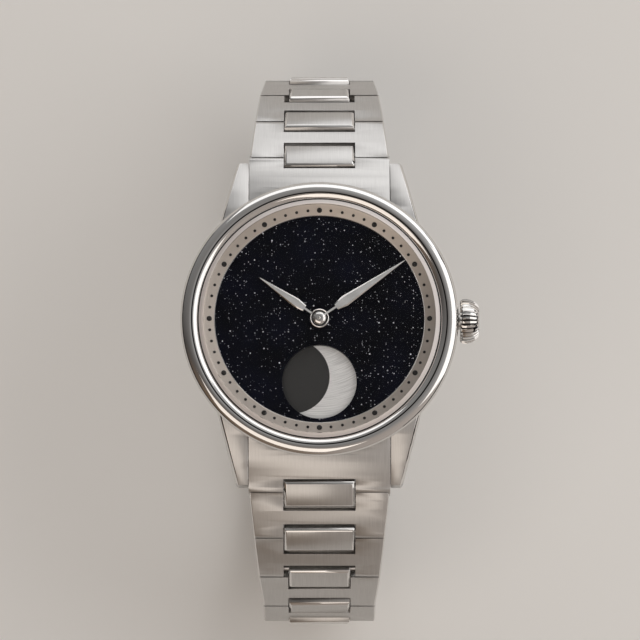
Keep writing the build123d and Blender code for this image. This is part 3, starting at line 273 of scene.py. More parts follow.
# %% [markdown]
# ## Floor and light
# The watch stands on its closed clasp on a plain pale floor. Polished steel has hardly any colour
# of its own: it shows the room. So the room matters more than the lamps. A soft world, brighter
# behind the watch and to its right and dimmer and warmer on the other sides, gives the bezel its
# slow change from light to dark, and three large soft lamps add the clear highlights.

# %% Floor
floor_size = 6
floor_height = cad_box[0][2]
bpy.ops.object.select_all(action="DESELECT")
bpy.ops.mesh.primitive_plane_add(size=floor_size, location=(0, 0, floor_height))
floor = bpy.context.object
floor.name = "floor"
floor.data.materials.append(
    plain("matte painted board", "f0eeeb", {"Roughness": 0.9, "Specular IOR Level": 0.1}))
print("floor at", round(floor_height / mm, 2), "mm")

# %% World: a soft room seen by the steel
room_strength = 0.75
room_tones = {
    "X": [(0.0, "3a3836"), (0.42, "8a8785"), (0.6, "d8d8d8"), (1.0, "ffffff")],
    "Y": [(0.0, "a88c70"), (0.3, "a88c72"), (0.5, "6f6a66"), (0.8, "c4c4c4"), (1.0, "d6d6d6")]}

world = bpy.context.scene.world or bpy.data.worlds.new("soft room")
bpy.context.scene.world = world
world.use_nodes = True
tree = world.node_tree
room = tree.nodes["Background"]
place = add_node(tree, "ShaderNodeTexCoord")
split = add_node(tree, "ShaderNodeSeparateXYZ", links={"Vector": place.outputs["Generated"]})
walls = []
for axis, tones in room_tones.items():
    share = add_node(tree, "ShaderNodeMapRange", {"From Min": -1.0, "From Max": 1.0},
                     {"Value": split.outputs[axis]})
    wall = add_node(tree, "ShaderNodeValToRGB", links={"Fac": share.outputs["Result"]},
                    stops=[(where, linear(colour)) for where, colour in tones])
    walls.append(wall.outputs["Color"])
both = add_node(tree, "ShaderNodeMix", {0: 0.5}, {6: walls[0], 7: walls[1]}, data_type="RGBA")
tree.links.new(both.outputs[2], room.inputs["Color"])
set_values(room, {"Strength": room_strength})
print("tones of the room:", sum(len(tones) for tones in room_tones.values()))

# %% Lamps: large soft boxes
def soft_box(name, place, size, power, colour):
    """A rectangular lamp that faces the dial."""
    bpy.ops.object.select_all(action="DESELECT")
    bpy.ops.object.light_add(type="AREA", location=place)
    lamp = bpy.context.object
    lamp.name = name
    lamp.data.shape = "RECTANGLE"
    lamp.data.size, lamp.data.size_y = size
    lamp.data.energy = power
    lamp.data.color = linear(colour)[:3]
    lamp.rotation_mode = "QUATERNION"
    lamp.rotation_quaternion = Vector(place).to_track_quat("Z", "Y")


soft_box("lamp behind", place=(0.15, 0.75, 0.35), size=(1.4, 0.6), power=2.8, colour="ffffff")
soft_box("lamp right", place=(0.7, 0.1, 0.45), size=(0.8, 0.8), power=2.2, colour="fffdfa")
soft_box("lamp above", place=(-0.25, -0.5, 0.75), size=(0.9, 0.6), power=1.8, colour="fff7ee")

# %% [markdown]
# A black board on each side, low and far outside the picture, is what a photographer of polished
# metal uses to give it dark edges: the bevels of the lugs lean outwards and show only these. The
# steel reflects the boards, but the camera itself doesn't see them, so they stay out of the side
# views too.

# %% Black boards at the sides
board_distance = 1.4
board_height, board_length = 0.28, 3.0
felt = plain("black felt", "0a0a0a", {"Roughness": 1.0, "Specular IOR Level": 0.0})
for name, side in (("black_board_left", -1), ("black_board_right", 1)):
    bpy.ops.object.select_all(action="DESELECT")
    bpy.ops.mesh.primitive_plane_add(
        size=1, location=(side * board_distance, 0, floor_height + board_height / 2),
        rotation=(0, math.pi / 2, 0))
    board = bpy.context.object
    board.name = name
    board.scale = (board_height, board_length, 1)
    board.data.materials.append(felt)
    board.visible_camera = False
print("boards stand", board_distance, "m away")

# %% [markdown]
# ## Brushed stainless steel
# The lugs, the end links and the sides of the links are 316L stainless steel, drawn over an
# abrasive belt along the length of the bracelet. The belt leaves fine parallel scratches that
# spread a highlight across them. Real scratches are about 0.02 mm apart, too fine for this
# picture, so they are drawn 0.09 mm apart: noise that changes the tone and the roughness a little
# and tilts the surface by a trace. It is stretched along Y and Z, the two directions in which the
# bracelet runs round the wrist, and on the back and the hands along X and Y.

# %% Brushed steel
def lay_pattern(tree, shader, pattern, colour, contrast, height_mm, strength=0.5,
                low=0.3, high=0.7):
    """Lets a pattern darken the colour where it is low, and tilt the surface by a trace."""
    base = linear(colour)
    darker = tuple(channel * contrast for channel in base[:3]) + (1.0,)
    tone = add_node(tree, "ShaderNodeValToRGB", links={"Fac": pattern},
                    stops=[(low, darker), (high, base)])
    relief = add_node(tree, "ShaderNodeBump", {"Strength": strength, "Distance": height_mm * mm},
                      {"Height": pattern})
    tree.links.new(tone.outputs["Color"], shader.inputs["Base Color"])
    tree.links.new(relief.outputs["Normal"], shader.inputs["Normal"])


def scratches(tree, across_mm, along_mm, direction):
    """Streaks along one or two axes; their spacing and their length are given in mm."""
    place = add_node(tree, "ShaderNodeTexCoord")
    per_metre = [1 / ((along_mm if axis in direction else across_mm) * mm) for axis in "XYZ"]
    scaled = add_node(tree, "ShaderNodeMapping", {"Scale": per_metre},
                      {"Vector": place.outputs["Object"]})
    return add_node(tree, "ShaderNodeTexNoise", {"Scale": 1.0, "Detail": 3.0, "Roughness": 0.6},
                    {"Vector": scaled.outputs["Vector"]}).outputs["Fac"]


def brushed(name, colour, across_mm=0.09, along_mm=3.0, direction="YZ", rough=(0.24, 0.4)):
    """Brushed metal: streaks in the roughness, in the tone and in a very low relief."""
    material, tree, shader = new_material(name)
    streaks = scratches(tree, across_mm, along_mm, direction)
    spread = add_node(tree, "ShaderNodeMapRange", {"To Min": rough[0], "To Max": rough[1]},
                      {"Value": streaks})
    lay_pattern(tree, shader, streaks, colour, contrast=0.86, height_mm=0.0012)
    tree.links.new(spread.outputs["Result"], shader.inputs["Roughness"])
    set_values(shader, {"Metallic": 1.0})
    return material


steel_brushed = brushed("brushed stainless steel", "c6c4c2", rough=(0.27, 0.42))
steel_side_brushed = brushed("stainless steel brushed round the case", "cfcdcb", direction="XY")
print(steel_brushed.name)

# %% [markdown]
# ## Polished stainless steel
# The bezel, the winding knob and the bevels are polished on a buffing wheel until they are
# mirrors. Even a good polish leaves a trace of haze that comes and goes, which slow noise in the
# roughness gives; without it the metal would look like computer chrome.

# %% Polished steel
def polished(name, colour, rough=(0.04, 0.09), wave_mm=4.0):
    """Buffed metal: a mirror with a little haze that comes and goes."""
    material, tree, shader = new_material(name)
    place = add_node(tree, "ShaderNodeTexCoord")
    haze = add_node(tree, "ShaderNodeTexNoise", {"Scale": 1 / (wave_mm * mm), "Detail": 4.0},
                    {"Vector": place.outputs["Object"]})
    spread = add_node(tree, "ShaderNodeMapRange", {"To Min": rough[0], "To Max": rough[1]},
                      {"Value": haze.outputs["Fac"]})
    tree.links.new(spread.outputs["Result"], shader.inputs["Roughness"])
    set_values(shader, {"Base Color": linear(colour), "Metallic": 1.0})
    return material


steel_polished = polished("polished stainless steel", "dcdad8")
print(steel_polished.name)

# %% [markdown]
# ## Aventurine glass
# The dial is a thin plate of dark blue glass that was melted with copper crystals and cooled
# slowly. Each tiny flat crystal flashes when it faces the light, so the plate looks like a night
# sky. Here the flashes are painted: a cell pattern paints pale spots into the base colour, glints
# that look the same under any lamp. Each cell holds one flake near its middle, and a random number
# per cell decides whether the flake shows, how large it is and how bright its painted glint is.
# Three sizes of cell are laid over each other, since the real flakes are anything but even. Under
# them a slow cloud pattern varies the dark blue a little.

# %% Aventurine dial
def flake_glint_mask(tree, cell_mm, share_shown, radius_share, shift, smallest=0.45):
    """Flakes painted as glints: at most one in each cell, each with its own size and brightness."""
    place = add_node(tree, "ShaderNodeTexCoord")
    moved = add_node(tree, "ShaderNodeMapping", {"Location": (shift, -shift, 0)},
                     {"Vector": place.outputs["Object"]})
    cells = add_node(tree, "ShaderNodeTexVoronoi",
                     {"Scale": 1 / (cell_mm * mm), "Randomness": 1.0},
                     {"Vector": moved.outputs["Vector"]}, voronoi_dimensions="2D")
    chance = add_node(tree, "ShaderNodeSeparateColor", links={"Color": cells.outputs["Color"]})
    shown = add_node(tree, "ShaderNodeMath", {1: 1 - share_shown},
                     {0: chance.outputs["Red"]}, operation="GREATER_THAN")
    size = add_node(tree, "ShaderNodeMapRange",
                    {"To Min": radius_share * smallest, "To Max": radius_share},
                    {"Value": chance.outputs["Green"]})
    inside = add_node(tree, "ShaderNodeMath", links={0: cells.outputs["Distance"],
                      1: size.outputs["Result"]}, operation="LESS_THAN")
    bright = add_node(tree, "ShaderNodeMath", {1: 2.0}, {0: chance.outputs["Blue"]},
                      operation="POWER")
    lit = add_node(tree, "ShaderNodeMath", links={0: shown.outputs[0], 1: inside.outputs[0]},
                   operation="MULTIPLY")
    return add_node(tree, "ShaderNodeMath", links={0: lit.outputs[0], 1: bright.outputs[0]},
                    operation="MULTIPLY").outputs[0]


cloud_mm = 6
aventurine, tree, shader = new_material("aventurine glass")
layers = [flake_glint_mask(tree, cell_mm, share_shown, radius_share, shift)
          for cell_mm, share_shown, radius_share, shift in (
              (0.30, 0.13, 0.17, 0.0), (0.60, 0.22, 0.13, 0.3), (1.15, 0.3, 0.09, 0.7))]
painted_glints = layers[0]
for layer in layers[1:]:
    painted_glints = add_node(tree, "ShaderNodeMath", links={0: painted_glints, 1: layer},
                   operation="MAXIMUM").outputs[0]
place = add_node(tree, "ShaderNodeTexCoord")
cloud = add_node(tree, "ShaderNodeTexNoise", {"Scale": 1 / (cloud_mm * mm), "Detail": 2.0},
                 {"Vector": place.outputs["Object"]})
depth = add_node(tree, "ShaderNodeValToRGB", links={"Fac": cloud.outputs["Fac"]},
                 stops=[(0.35, linear("030409")), (0.7, linear("070916"))])
# The flakes are painted as pale glints in the base colour: painted highlights on the dark blue.
tone = add_node(tree, "ShaderNodeMix", {7: linear("f4f6ff")},
                {0: painted_glints, 6: depth.outputs["Color"]}, data_type="RGBA")
tree.links.new(tone.outputs[2], shader.inputs["Base Color"])
set_values(shader, {"Roughness": 0.35, "IOR": 1.5, "Specular IOR Level": 0.1})
print("flake layers:", len(layers))

# %% [markdown]
# ## The other finishes
# Under the opening at six o'clock turns a silvered disc, brushed in circles round the middle of
# the dial, and on it lie two matte dark grey discs. The coat of silver is thin and a little
# chalky, so it counts as metal only in part. The minute ring is satin steel, the dots are dark
# brown lacquer and the sealing rings are rubber. The movement has gilt brass wheels and pinions
# of hardened steel between plates with a rhodium finish.

# %% Circular brushing, and surfaces with a grain
def circular_brushed(name, colour, ring_mm=0.11, streaks_per_radian=2.2, metallic=0.45,
                     rough=0.42):
    """Metal brushed in circles round the Z axis: streaks that depend on the radius."""
    material, tree, shader = new_material(name)
    place = add_node(tree, "ShaderNodeTexCoord")
    split = add_node(tree, "ShaderNodeSeparateXYZ", links={"Vector": place.outputs["Object"]})
    flat = add_node(tree, "ShaderNodeCombineXYZ",
                    links={"X": split.outputs["X"], "Y": split.outputs["Y"]})
    radius = add_node(tree, "ShaderNodeVectorMath", links={0: flat.outputs["Vector"]},
                      operation="LENGTH")
    fine = add_node(tree, "ShaderNodeMath", {1: 1 / (ring_mm * mm)},
                    {0: radius.outputs["Value"]}, operation="MULTIPLY")
    angle = add_node(tree, "ShaderNodeMath",
                     links={0: split.outputs["Y"], 1: split.outputs["X"]}, operation="ARCTAN2")
    slow = add_node(tree, "ShaderNodeMath", {1: streaks_per_radian}, {0: angle.outputs[0]},
                    operation="MULTIPLY")
    pair = add_node(tree, "ShaderNodeCombineXYZ",
                    links={"X": fine.outputs[0], "Y": slow.outputs[0]})
    streaks = add_node(tree, "ShaderNodeTexNoise", {"Scale": 1.0, "Detail": 3.0},
                       {"Vector": pair.outputs["Vector"]}).outputs["Fac"]
    lay_pattern(tree, shader, streaks, colour, contrast=0.72, height_mm=0.0015,
                low=0.32, high=0.62)
    set_values(shader, {"Metallic": metallic, "Roughness": rough})
    return material


def grained(name, colour, rough, grain_mm, height_mm, metallic=0.0, contrast=0.9):
    """A moulded, painted or blasted surface: an even fine grain in tone and relief."""
    material, tree, shader = new_material(name)
    place = add_node(tree, "ShaderNodeTexCoord")
    grain = add_node(tree, "ShaderNodeTexNoise", {"Scale": 1 / (grain_mm * mm), "Detail": 2.0},
                     {"Vector": place.outputs["Object"]}).outputs["Fac"]
    lay_pattern(tree, shader, grain, colour, contrast, height_mm, strength=0.4)
    set_values(shader, {"Metallic": metallic, "Roughness": rough})
    return material


# %% Silvering, lacquer, rubber, brass and the steel of the hands
silvered = circular_brushed("silvered brass, circular brushed", "f0f0f0")
shadow_grey = grained("matte dark grey lacquer", "2f2f2f", rough=0.75, grain_mm=0.08,
                      height_mm=0.001, contrast=0.96)
ring_satin = grained("satin steel minute ring", "cbc1b8", rough=0.34, grain_mm=0.12,
                     height_mm=0.0008, metallic=1.0, contrast=0.95)
dot_lacquer = grained("dark brown lacquer", "140e0c", rough=0.5, grain_mm=0.1, height_mm=0.001)
nitrile = grained("black nitrile rubber", "161616", rough=0.7, grain_mm=0.1, height_mm=0.002)
gilt = grained("gilt brass", "d8b56a", rough=0.22, grain_mm=0.15, height_mm=0.0008,
               metallic=1.0)
rhodium = grained("rhodium plated brass", "cfcfcd", rough=0.3, grain_mm=0.05, height_mm=0.002,
                  metallic=1.0)
hardened = polished("hardened steel", "9a9da3")
hand_satin = brushed("satin steel of the hands", "e6e6e6", across_mm=0.06, along_mm=1.5,
                     direction="XY", rough=(0.3, 0.42))
print("finishes:", len(bpy.data.materials))

# %% [markdown]
# ## Sapphire crystal
# The crystal is a disc of synthetic sapphire with a coating that takes away nearly all of its
# reflection, so the dial looks uncovered and only a trace of the room lies on top. Light has to
# reach the dial through it, so the glass lets shadow rays pass.

# %% Sapphire
sapphire_ior = 1.77
sapphire, tree, shader = new_material("sapphire with an anti-reflection coating")
set_values(shader, {"Base Color": linear("ffffff"), "Roughness": 0.0, "IOR": sapphire_ior,
                    "Transmission Weight": 1.0, "Specular Tint": linear("262626")})
clear = add_node(tree, "ShaderNodeBsdfTransparent")
path = add_node(tree, "ShaderNodeLightPath")
gate = add_node(tree, "ShaderNodeMixShader",
                links={0: path.outputs["Is Shadow Ray"], 1: shader.outputs["BSDF"],
                       2: clear.outputs["BSDF"]})
output = tree.nodes["Material Output"]
tree.links.new(gate.outputs["Shader"], output.inputs["Surface"])
print(sapphire.name)

# %% [markdown]
# ## Bezel
# The bezel is one turned steel ring. From the outside in it has a wide rounded shoulder, a narrow
# groove whose faces are painted black as shade, drawing a black line round the dial, and a
# rounded polished lip down to the crystal.
# A mirror shows every facet, so the shoulder is drawn with many points and spun in many steps.

# %% Bezel
bezel_radius, opening_radius = 19.5, 16.4
bezel_base, bezel_top = 8.2, 9.5
seat_radius, seat_height = 17.05, 8.62
groove_inner, groove_outer, groove_floor = 17.8, 17.97, 8.95
slack = 0.01

bezel_outline = (
    [(opening_radius, bezel_base), (opening_radius, seat_height), (seat_radius, seat_height),
     (seat_radius, 9.1)]
    + arc((seat_radius, 9.1), (17.4, 9.36), (groove_inner, bezel_top), 6)[1:]
    + [(groove_inner, groove_floor), (groove_outer, groove_floor)]
    + arc((17.99, bezel_top), (18.96, 9.3), (bezel_radius, 8.7), 28)
    + arc((bezel_radius, 8.7), (19.44, 8.52), (19.27, 8.4), 6)[1:]
    + [(18.6, bezel_base)])
# Painted shade: near-black on the faces of narrow grooves, for the shade that falls into them.
painted_shade_black = grained("painted shade in grooves", "0d0c0c", rough=0.6, grain_mm=0.1, height_mm=0.001)
bezel = turned("bezel_ring", bezel_outline, steps=240)
# The faces of the groove get the painted black shade.
two_finishes(bezel, steel_polished, painted_shade_black,
             lambda face: groove_inner - slack < reach(face) < groove_outer + slack)
finish_piece(bezel, "head", ["bezel"])
print(bezel.name, "groove faces:", sum(face.material_index for face in bezel.data.polygons))

# %% [markdown]
# ## Crystal
# The crystal is a shallow dome of even thickness. Its rim is ground off in a bevel, which catches
# the light as a thin pale ring between the bezel and the minute ring. The rim's faces get a
# second material, ground sapphire, which is the same stone frosted by the grinding.

# %% Crystal
rim_inner, rim_outer = 16.3, 16.9
least_rise = 0.2
ground = plain("ground edge of the sapphire", "f2eae7",
               {"Roughness": 0.3, "IOR": sapphire_ior, "Transmission Weight": 0.25})
crystal_outline = (
    arc((0, 10.28), (8.125, 10.095), (16.25, 9.53), 40)
    + [(rim_inner, 9.47), (rim_outer, 9.15), (rim_outer, seat_height), (16.2, seat_height)]
    + arc((16.2, seat_height), (8.1, 9.184), (0, 9.37), 40)[1:])
crystal = turned("crystal_dome", crystal_outline, closed=False)
two_finishes(crystal, sapphire, ground,
             lambda face: reach(face) > rim_inner and face.normal.z > least_rise)
finish_piece(crystal, "head", ["crystal"])
print(crystal.name, "rim faces:", sum(face.material_index for face in crystal.data.polygons))

# %% [markdown]
# ## Minute ring and its dots
# The minute ring slopes down from the crystal to the dial and ends in a narrow polished lip.
# Each dot is a drop of lacquer. It is modelled once as a short round prism with a broad bevel,
# laid on the slope at 12 o'clock, and copied round the dial.

# %% Minute ring
ring_inner, ring_outer = 14.6, 16.25
lip_outer, lip_middle = 14.74, 14.72
slope_low, slope_high = 8.14, 8.5
ring_outline = [(ring_inner, dial_height), (ring_outer, dial_height), (ring_outer, slope_high),
                (lip_outer, slope_low), (lip_middle, 8.15), (14.64, 8.13), (ring_inner, 8.06)]
minute_ring = turned("minute_ring", ring_outline, steps=240)
two_finishes(minute_ring, ring_satin, steel_polished, lambda face: reach(face) < lip_outer)
finish_piece(minute_ring, "head", ["chapter_ring"])
print(minute_ring.name, "lip faces:",
      sum(face.material_index for face in minute_ring.data.polygons))

# %% Dots
dot_circle, dot_height, dot_lift, dot_edge = 15.4, 0.05, 0.03, 0.022


def dots(name, radius, minutes, node):
    """A drop of lacquer at 12 o'clock and a copy at each of these minutes, joined."""
    rise, run = slope_high - slope_low, ring_outer - lip_middle
    height = slope_low + rise * (dot_circle - lip_middle) / run + dot_lift
    bpy.ops.object.select_all(action="DESELECT")
    bpy.ops.mesh.primitive_cylinder_add(
        vertices=24, radius=radius * mm, depth=dot_height * mm,
        location=(0, dot_circle * mm, height * mm), rotation=(math.atan2(rise, run), 0, 0))
    first = bpy.context.object
    only(first)
    bpy.ops.object.transform_apply(location=True, rotation=True, scale=True)
    soften(first, dot_edge, steps=3, limit=60)
    copies = [first]
    for minute in minutes:
        copy = first.copy()
        copy.data = first.data.copy()
        bpy.context.scene.collection.objects.link(copy)
        copy.rotation_euler = (0, 0, -math.radians(6 * minute))
        copies.append(copy)
    only(*copies)
    bpy.ops.object.transform_apply(location=True, rotation=True, scale=True)
    bpy.ops.object.join()
    first.name = name
    finish_piece(first, "head", [node], dot_lacquer)
    print(name, len(copies))


# The small drop at 12 o'clock lies inside the large one, where it can't be seen.
every_hour = [5 * hour for hour in range(1, 12)]
between = [minute for minute in range(60) if minute % 5]
dots("hour_drops", radius=0.375, minutes=every_hour, node="hour_dots")
dots("minute_drops", radius=0.21, minutes=between, node="minute_dots")

# %% [markdown]
# ## Hands
# Each hand is a blade about 0.15 mm thick: a narrow neck at the hub, a step out to the widest
# place, and a long taper to the tip. A diamond tool cuts a mirror bevel along both sides, and the
# flat strip that stays in the middle is satin. Here the outline is pushed corner by corner,
# filled, and raised twice; the second time its top is drawn in, which makes the two bevels meet
# the flat strip.

# %% Draw one hand
def raise_top(rise, across=1.0, along=1.0):
    """Extrudes the selected face upwards, and draws it in towards the hand's middle line."""
    bpy.ops.mesh.extrude_region_move(TRANSFORM_OT_translate={"value": (0, 0, rise * mm)})
    if across != 1.0 or along != 1.0:
        bpy.ops.transform.resize(value=(across, along, 1), center_override=(0, 0, 0))


def hand_blade(name, length, neck_end, widest_at, widest, low, thickness=0.15):
    """The blade of a hand that points to 12 o'clock."""
    root, neck, base, tip = 0.9, 0.19, 0.46, 0.05
    side_share = 0.45
    right = [(neck, root), (neck, neck_end), (base, neck_end), (widest / 2, widest_at),
             (tip, length)]
    corners = right + [(-x, y) for x, y in reversed(right)]
    points = [Vector((x * mm, y * mm, low * mm)) for x, y in corners]
    blade = drawn(name, points + points[:1])
    bpy.ops.mesh.edge_face_add()
    raise_top(thickness * side_share)
    raise_top(thickness * (1 - side_share), across=0.72, along=0.985)
    bpy.ops.object.mode_set(mode="OBJECT")
    close_up(blade)
    return blade


def turn_to(piece, degrees):
    """Turns a piece clockwise round the middle of the dial."""
    only(piece)
    bpy.ops.transform.rotate(value=math.radians(degrees), orient_axis="Z",
                             center_override=(0, 0, 0))


# %% Both hands with their hubs
hub_groove_inner, hub_groove_outer, hub_groove_floor = 0.95, 1.15, 0.08
flat_top, underside = 0.97, -0.5
hub_outline = [(0.7, 0.0), (1.33, 0.0), (1.33, 0.09), (1.29, 0.13), (1.23, 0.15), (1.17, 0.13),
               (hub_groove_outer, hub_groove_floor), (hub_groove_inner, hub_groove_floor),
               (0.9, 0.15), (0.7, 0.15)]
hands = {
    "hour_hand": dict(length=10.2, neck_end=2.56, widest_at=4.0, widest=1.3, low=8.28,
                      angle=304.6),
    "minute_hand": dict(length=14.5, neck_end=2.85, widest_at=4.3, widest=1.55, low=8.6,
                        angle=55.6)}
for hand, sizes in hands.items():
    angle = sizes.pop("angle")
    blade = hand_blade(hand + "_blade", **sizes)
    turn_to(blade, angle)
    two_finishes(blade, hand_satin, steel_polished, lambda face: face.normal.z <= flat_top)
    finish_piece(blade, hand, [hand], smooth=12)
    outline = [(radius, height + sizes["low"]) for radius, height in hub_outline]
    hub = turned(hand + "_hub", outline, steps=96)
    # The faces of the hub's groove are painted black as shade: a dark line between hub and cap.
    two_finishes(hub, steel_polished, painted_shade_black,
                 lambda face: hub_groove_inner - slack < reach(face) < hub_groove_outer + slack
                 and face.normal.z > underside)
    finish_piece(hub, hand, [hand])
    print(hand, "faces:", len(blade.data.polygons), "and", len(hub.data.polygons))

# %% [markdown]
# ## Cap in the middle
# A small polished dome is pressed over the end of the cannon pinion. It has a fine pip in the
# middle, which the lathe left, and it shows the whole room in miniature.

# %% Polished cap
cap_base, cap_radius = 8.75, 0.93
cap_outline = ([(0, cap_base), (cap_radius, cap_base)]
               + arc((cap_radius, 8.76), (0.68, 8.95), (0.22, 9.02), 16)
               + arc((0.2, 9.0), (0.13, 9.05), (0, 9.07), 6))
cap = turned("hand_cap_dome", cap_outline, steps=96, closed=False)
finish_piece(cap, "minute_hand", ["hand_cap"], steel_polished)
print(cap.name, len(cap.data.polygons), "faces")

# %% [markdown]
# ## Winding knob
# The knob at 3 o'clock is milled with thirty deep flutes, so that it can be gripped. It widens a
# little from the case outwards and then curves in to a smaller flat end, whose middle is sunk by
# a trace. A fluted ring of corners is drawn once and pushed along the stem from station to
# station; at each station, which is a share of the length, it is scaled to a share of the radius.

# %% Draw a fluted ring
flute_count, per_flute = 30, 10


def fluted_ring(name, radius, depth, place, ridge_share=0.45, roundness=0.8):
    """A ring round the X axis whose corners follow the ridges and flutes."""
    bpy.ops.object.select_all(action="DESELECT")
    bpy.ops.mesh.primitive_circle_add(
        vertices=flute_count * per_flute, radius=radius * mm, fill_type="NGON",
        location=place, rotation=(0, math.pi / 2, 0))
    piece = bpy.context.object
    piece.name = name
    bpy.ops.object.transform_apply(location=True, rotation=True, scale=True)
    for index, corner in enumerate(piece.data.vertices):
        share = abs((index % per_flute) / per_flute - 0.5) * 2
        cut = depth * mm * max(0.0, (share - ridge_share) / (1 - ridge_share)) ** roundness
        away = corner.co - place
        corner.co = place + away * (1 - cut / away.length)
    return piece


# %% Push the ring along the stem
knob_start, knob_length, knob_radius, knob_height = 19.75, 2.65, 3.15, 6.25
flute_depth = 0.4
end_share, end_sink = 0.86, 0.06
stations = [(0.0, 0.88), (0.05, 0.95), (0.14, 0.99), (0.3, 1.0), (0.5, 0.975), (0.68, 0.92),
            (0.82, 0.84), (0.92, 0.77), (0.97, 0.72), (1.0, 0.66)]


def on_stem(share):
    """The point on the stem's axis at a share of the knob's length."""
    return Vector(((knob_start + share * knob_length) * mm, 0, knob_height * mm))


first_size = stations[0][1]
knob = fluted_ring("winding_knob", knob_radius * first_size, flute_depth * first_size, on_stem(0))
bpy.ops.object.mode_set(mode="EDIT")
bpy.ops.mesh.select_all(action="SELECT")
bpy.ops.mesh.normals_make_consistent(inside=False)
for (here, size), (there, next_size) in zip(stations, stations[1:]):
    bpy.ops.mesh.extrude_region_move(
        TRANSFORM_OT_translate={"value": ((there - here) * knob_length * mm, 0, 0)})
    bpy.ops.transform.resize(value=(1, next_size / size, next_size / size),
                             center_override=on_stem(there))
bpy.ops.mesh.extrude_region_move(TRANSFORM_OT_translate={"value": (0, 0, 0)})
bpy.ops.transform.resize(value=(1, end_share, end_share), center_override=on_stem(1))
bpy.ops.mesh.extrude_region_move(TRANSFORM_OT_translate={"value": (-end_sink * mm, 0, 0)})
bpy.ops.object.mode_set(mode="OBJECT")
close_up(knob)
print(knob.name, len(knob.data.polygons), "faces")

# %% Paint shade into the bottoms of the flutes
flute_part, end_radius, end_facing = 0.74, 2.1, 0.7


def in_flute(face):
    """Whether a face lies at the bottom of a flute, outside the flat end, where shade is painted.
    """
    across, up = face.center.y / mm, face.center.z / mm - knob_height
    turns = math.atan2(up, across) / (2 * math.pi)
    share = abs((turns * flute_count) % 1 - 0.5) * 2
    on_side = math.hypot(across, up) > end_radius and face.normal.x < end_facing
    return share > flute_part and on_side


# The bottoms of the flutes are painted black as shade; the ridges stay polished steel.
two_finishes(knob, steel_polished, painted_shade_black, in_flute)
finish_piece(knob, "crown_and_stem", ["crown"], smooth=30)
print("groove faces:", sum(face.material_index for face in knob.data.polygons))

# %% [markdown]
# ## Case, links and clasp
# These pieces have their full shape in the CAD model, but a CAD solid ends in knife edges and no
# steel part does. Each one is copied, its flat faces are put back together, and its edges are
# broken by 0.03 to 0.14 mm. The broken edges are polished and the faces between them are brushed,
# which is how such a bracelet is finished by hand.

# %% Copy a CAD solid and break its edges
def copied(node, flat_within=0.3):
    """A copy of a CAD node with its own mesh, in which flat faces are joined again."""
    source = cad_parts[node]
    copy = source.copy()
    copy.data = source.data.copy()
    bpy.context.scene.collection.objects.link(copy)
    copy.parent = None
    copy.matrix_world = Matrix.Identity(4)
    copy.hide_render = False
    copy.name = node + "_steel"
    edit(copy)
    bpy.ops.mesh.remove_doubles(threshold=same_corner)
    bpy.ops.mesh.dissolve_limited(angle_limit=math.radians(flat_within))
    bpy.ops.object.mode_set(mode="OBJECT")
    return copy


def break_edges(piece, width, main, edges=steel_polished):
    """Bevels the sharp edges; the new narrow faces take the finish of the edges."""
    two_finishes(piece, main, edges, lambda face: False)
    soften(piece, width, limit=25, material=1)


def polish_slopes(piece, up, side_only=True, steepest=0.25, flattest=0.95):
    """Polishes the faces that lean between the top and the sides."""
    for face in piece.data.polygons:
        leaning = steepest < face.normal.dot(up) < flattest
        if leaning and (abs(face.normal.x) > steepest or not side_only):
            face.material_index = 1


# %% Middle of the case and its lugs
case_edge = 0.04
case_body = copied("case_middle")
break_edges(case_body, case_edge, steel_brushed)
polish_slopes(case_body, up=Vector((0, 0, 1)))
finish_piece(case_body, "head", ["case_middle"])
print(case_body.name, len(case_body.data.polygons), "faces")

# %% [markdown]
# ## Links
# A link is an H-shaped frame, a block that fills the middle, and two pins. The frame is brushed
# along the bracelet with polished edges; the block stands a little higher and has a polished
# bevel all round, so that each one is outlined by a bright or a dark line. The pins are pressed
# into the frame: where their corners meet those of their holes, the merge joins them to it.

# %% Dress each link of the bracelet
# The links slope down from the dial's plane by so many degrees, from the case to the clasp.
slopes = (29.5, 44.0, 59.0, 77.0, 100.0, 125.0, 150.0, 170.0)
block_edge, bars_edge = 0.1, 0.14


def loose_pieces(piece):
    """Splits a piece into its separate solids."""
    edit(piece)
    bpy.ops.mesh.separate(type="LOOSE")
    bpy.ops.object.mode_set(mode="OBJECT")
    return list(bpy.context.selected_objects)


def reach_along(piece, direction):
    """How far a piece reaches along a direction."""
    return max(corner.co.dot(direction) for corner in piece.data.vertices)


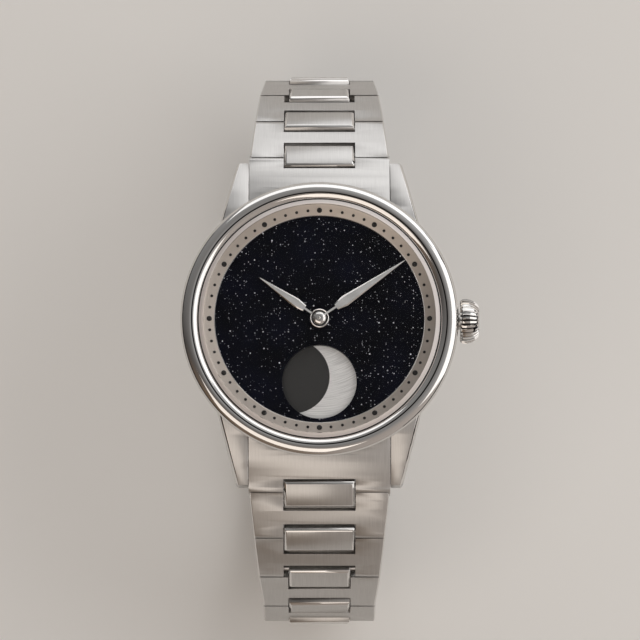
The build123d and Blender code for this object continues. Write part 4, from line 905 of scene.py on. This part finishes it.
def dress_link(node, slope, side):
    """Splits one link into block, frame and any loose pins, finishes and counts them."""
    turn = math.radians(slope)
    outward = Vector((0, side * math.sin(turn), math.cos(turn)))
    solids = loose_pieces(copied(node))
    solids.sort(key=lambda solid: reach_along(solid, outward), reverse=True)
    block, bars, *pins = solids
    for solid, ending, width in ((block, "_block", block_edge), (bars, "_bars", bars_edge)):
        break_edges(solid, width, steel_brushed)
        polish_slopes(solid, outward, side_only=solid is bars)
        solid.name = node + ending
        finish_piece(solid, node, [node])
    for number, pin in enumerate(pins, 2):
        pin.name = f"{node}_pin_{number}"
        finish_piece(pin, node, [node], hardened)
    return len(solids)


pieces = 0
for prefix, side in (("upper", 1), ("lower", -1)):
    for number, slope in enumerate(slopes, 1):
        pieces += dress_link(f"{prefix}_link_{number}", slope, side)
print("pieces in the links:", pieces)

# %% End links, clasp and back
def dress_plain(node, body, main, width=0.03):
    """Breaks the edges of one CAD solid and gives it two finishes."""
    piece = copied(node)
    break_edges(piece, width, main)
    finish_piece(piece, body, [node])
    print(piece.name, len(piece.data.polygons), "faces")


for node in ("upper_end_link", "lower_end_link"):
    dress_plain(node, "head", steel_brushed)
for node in ("clasp_cover", "clasp_middle_blade", "clasp_inner_blade"):
    dress_plain(node, node, steel_brushed)
dress_plain("case_back", "head", steel_side_brushed)

# %% [markdown]
# ## Dial, moon and movement
# The remaining solids keep their CAD shape and get the finish of the real piece. The movement
# can't be seen while the back is closed, but it shows when the back is taken away.

# %% Finishes on the CAD solids
def dress_solid(material, *nodes):
    """Gives one finish to CAD solids that stay as they are."""
    for node in nodes:
        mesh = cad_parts[node].data
        mesh.materials.clear()
        mesh.materials.append(material)
        for face in mesh.polygons:
            face.material_index = 0


dress_solid(aventurine, "dial")
dress_solid(silvered, "moon_disc")
dress_solid(shadow_grey, "moon_shadows", "dial_base")
dress_solid(nitrile, "case_gaskets", "crown_gasket")
dress_solid(gilt, "movement_ring", "barrel", "centre_wheel", "third_wheel",
            "fourth_wheel", "minute_wheel", "hour_wheel", "moon_idler", "balance_wheel")
dress_solid(rhodium, "mainplate", "train_bridge", "balance_cock", "rotor")
dress_solid(hardened, "cannon_pinion", "winding_pinion", "crown_stem", "escape_wheel",
            "pallet_fork", "hairspring", "movement_screws", "spring_bars")
dress_solid(steel_brushed, "crown_tube")
print("CAD solids still shown:", sum(not item.hide_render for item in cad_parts.values()))
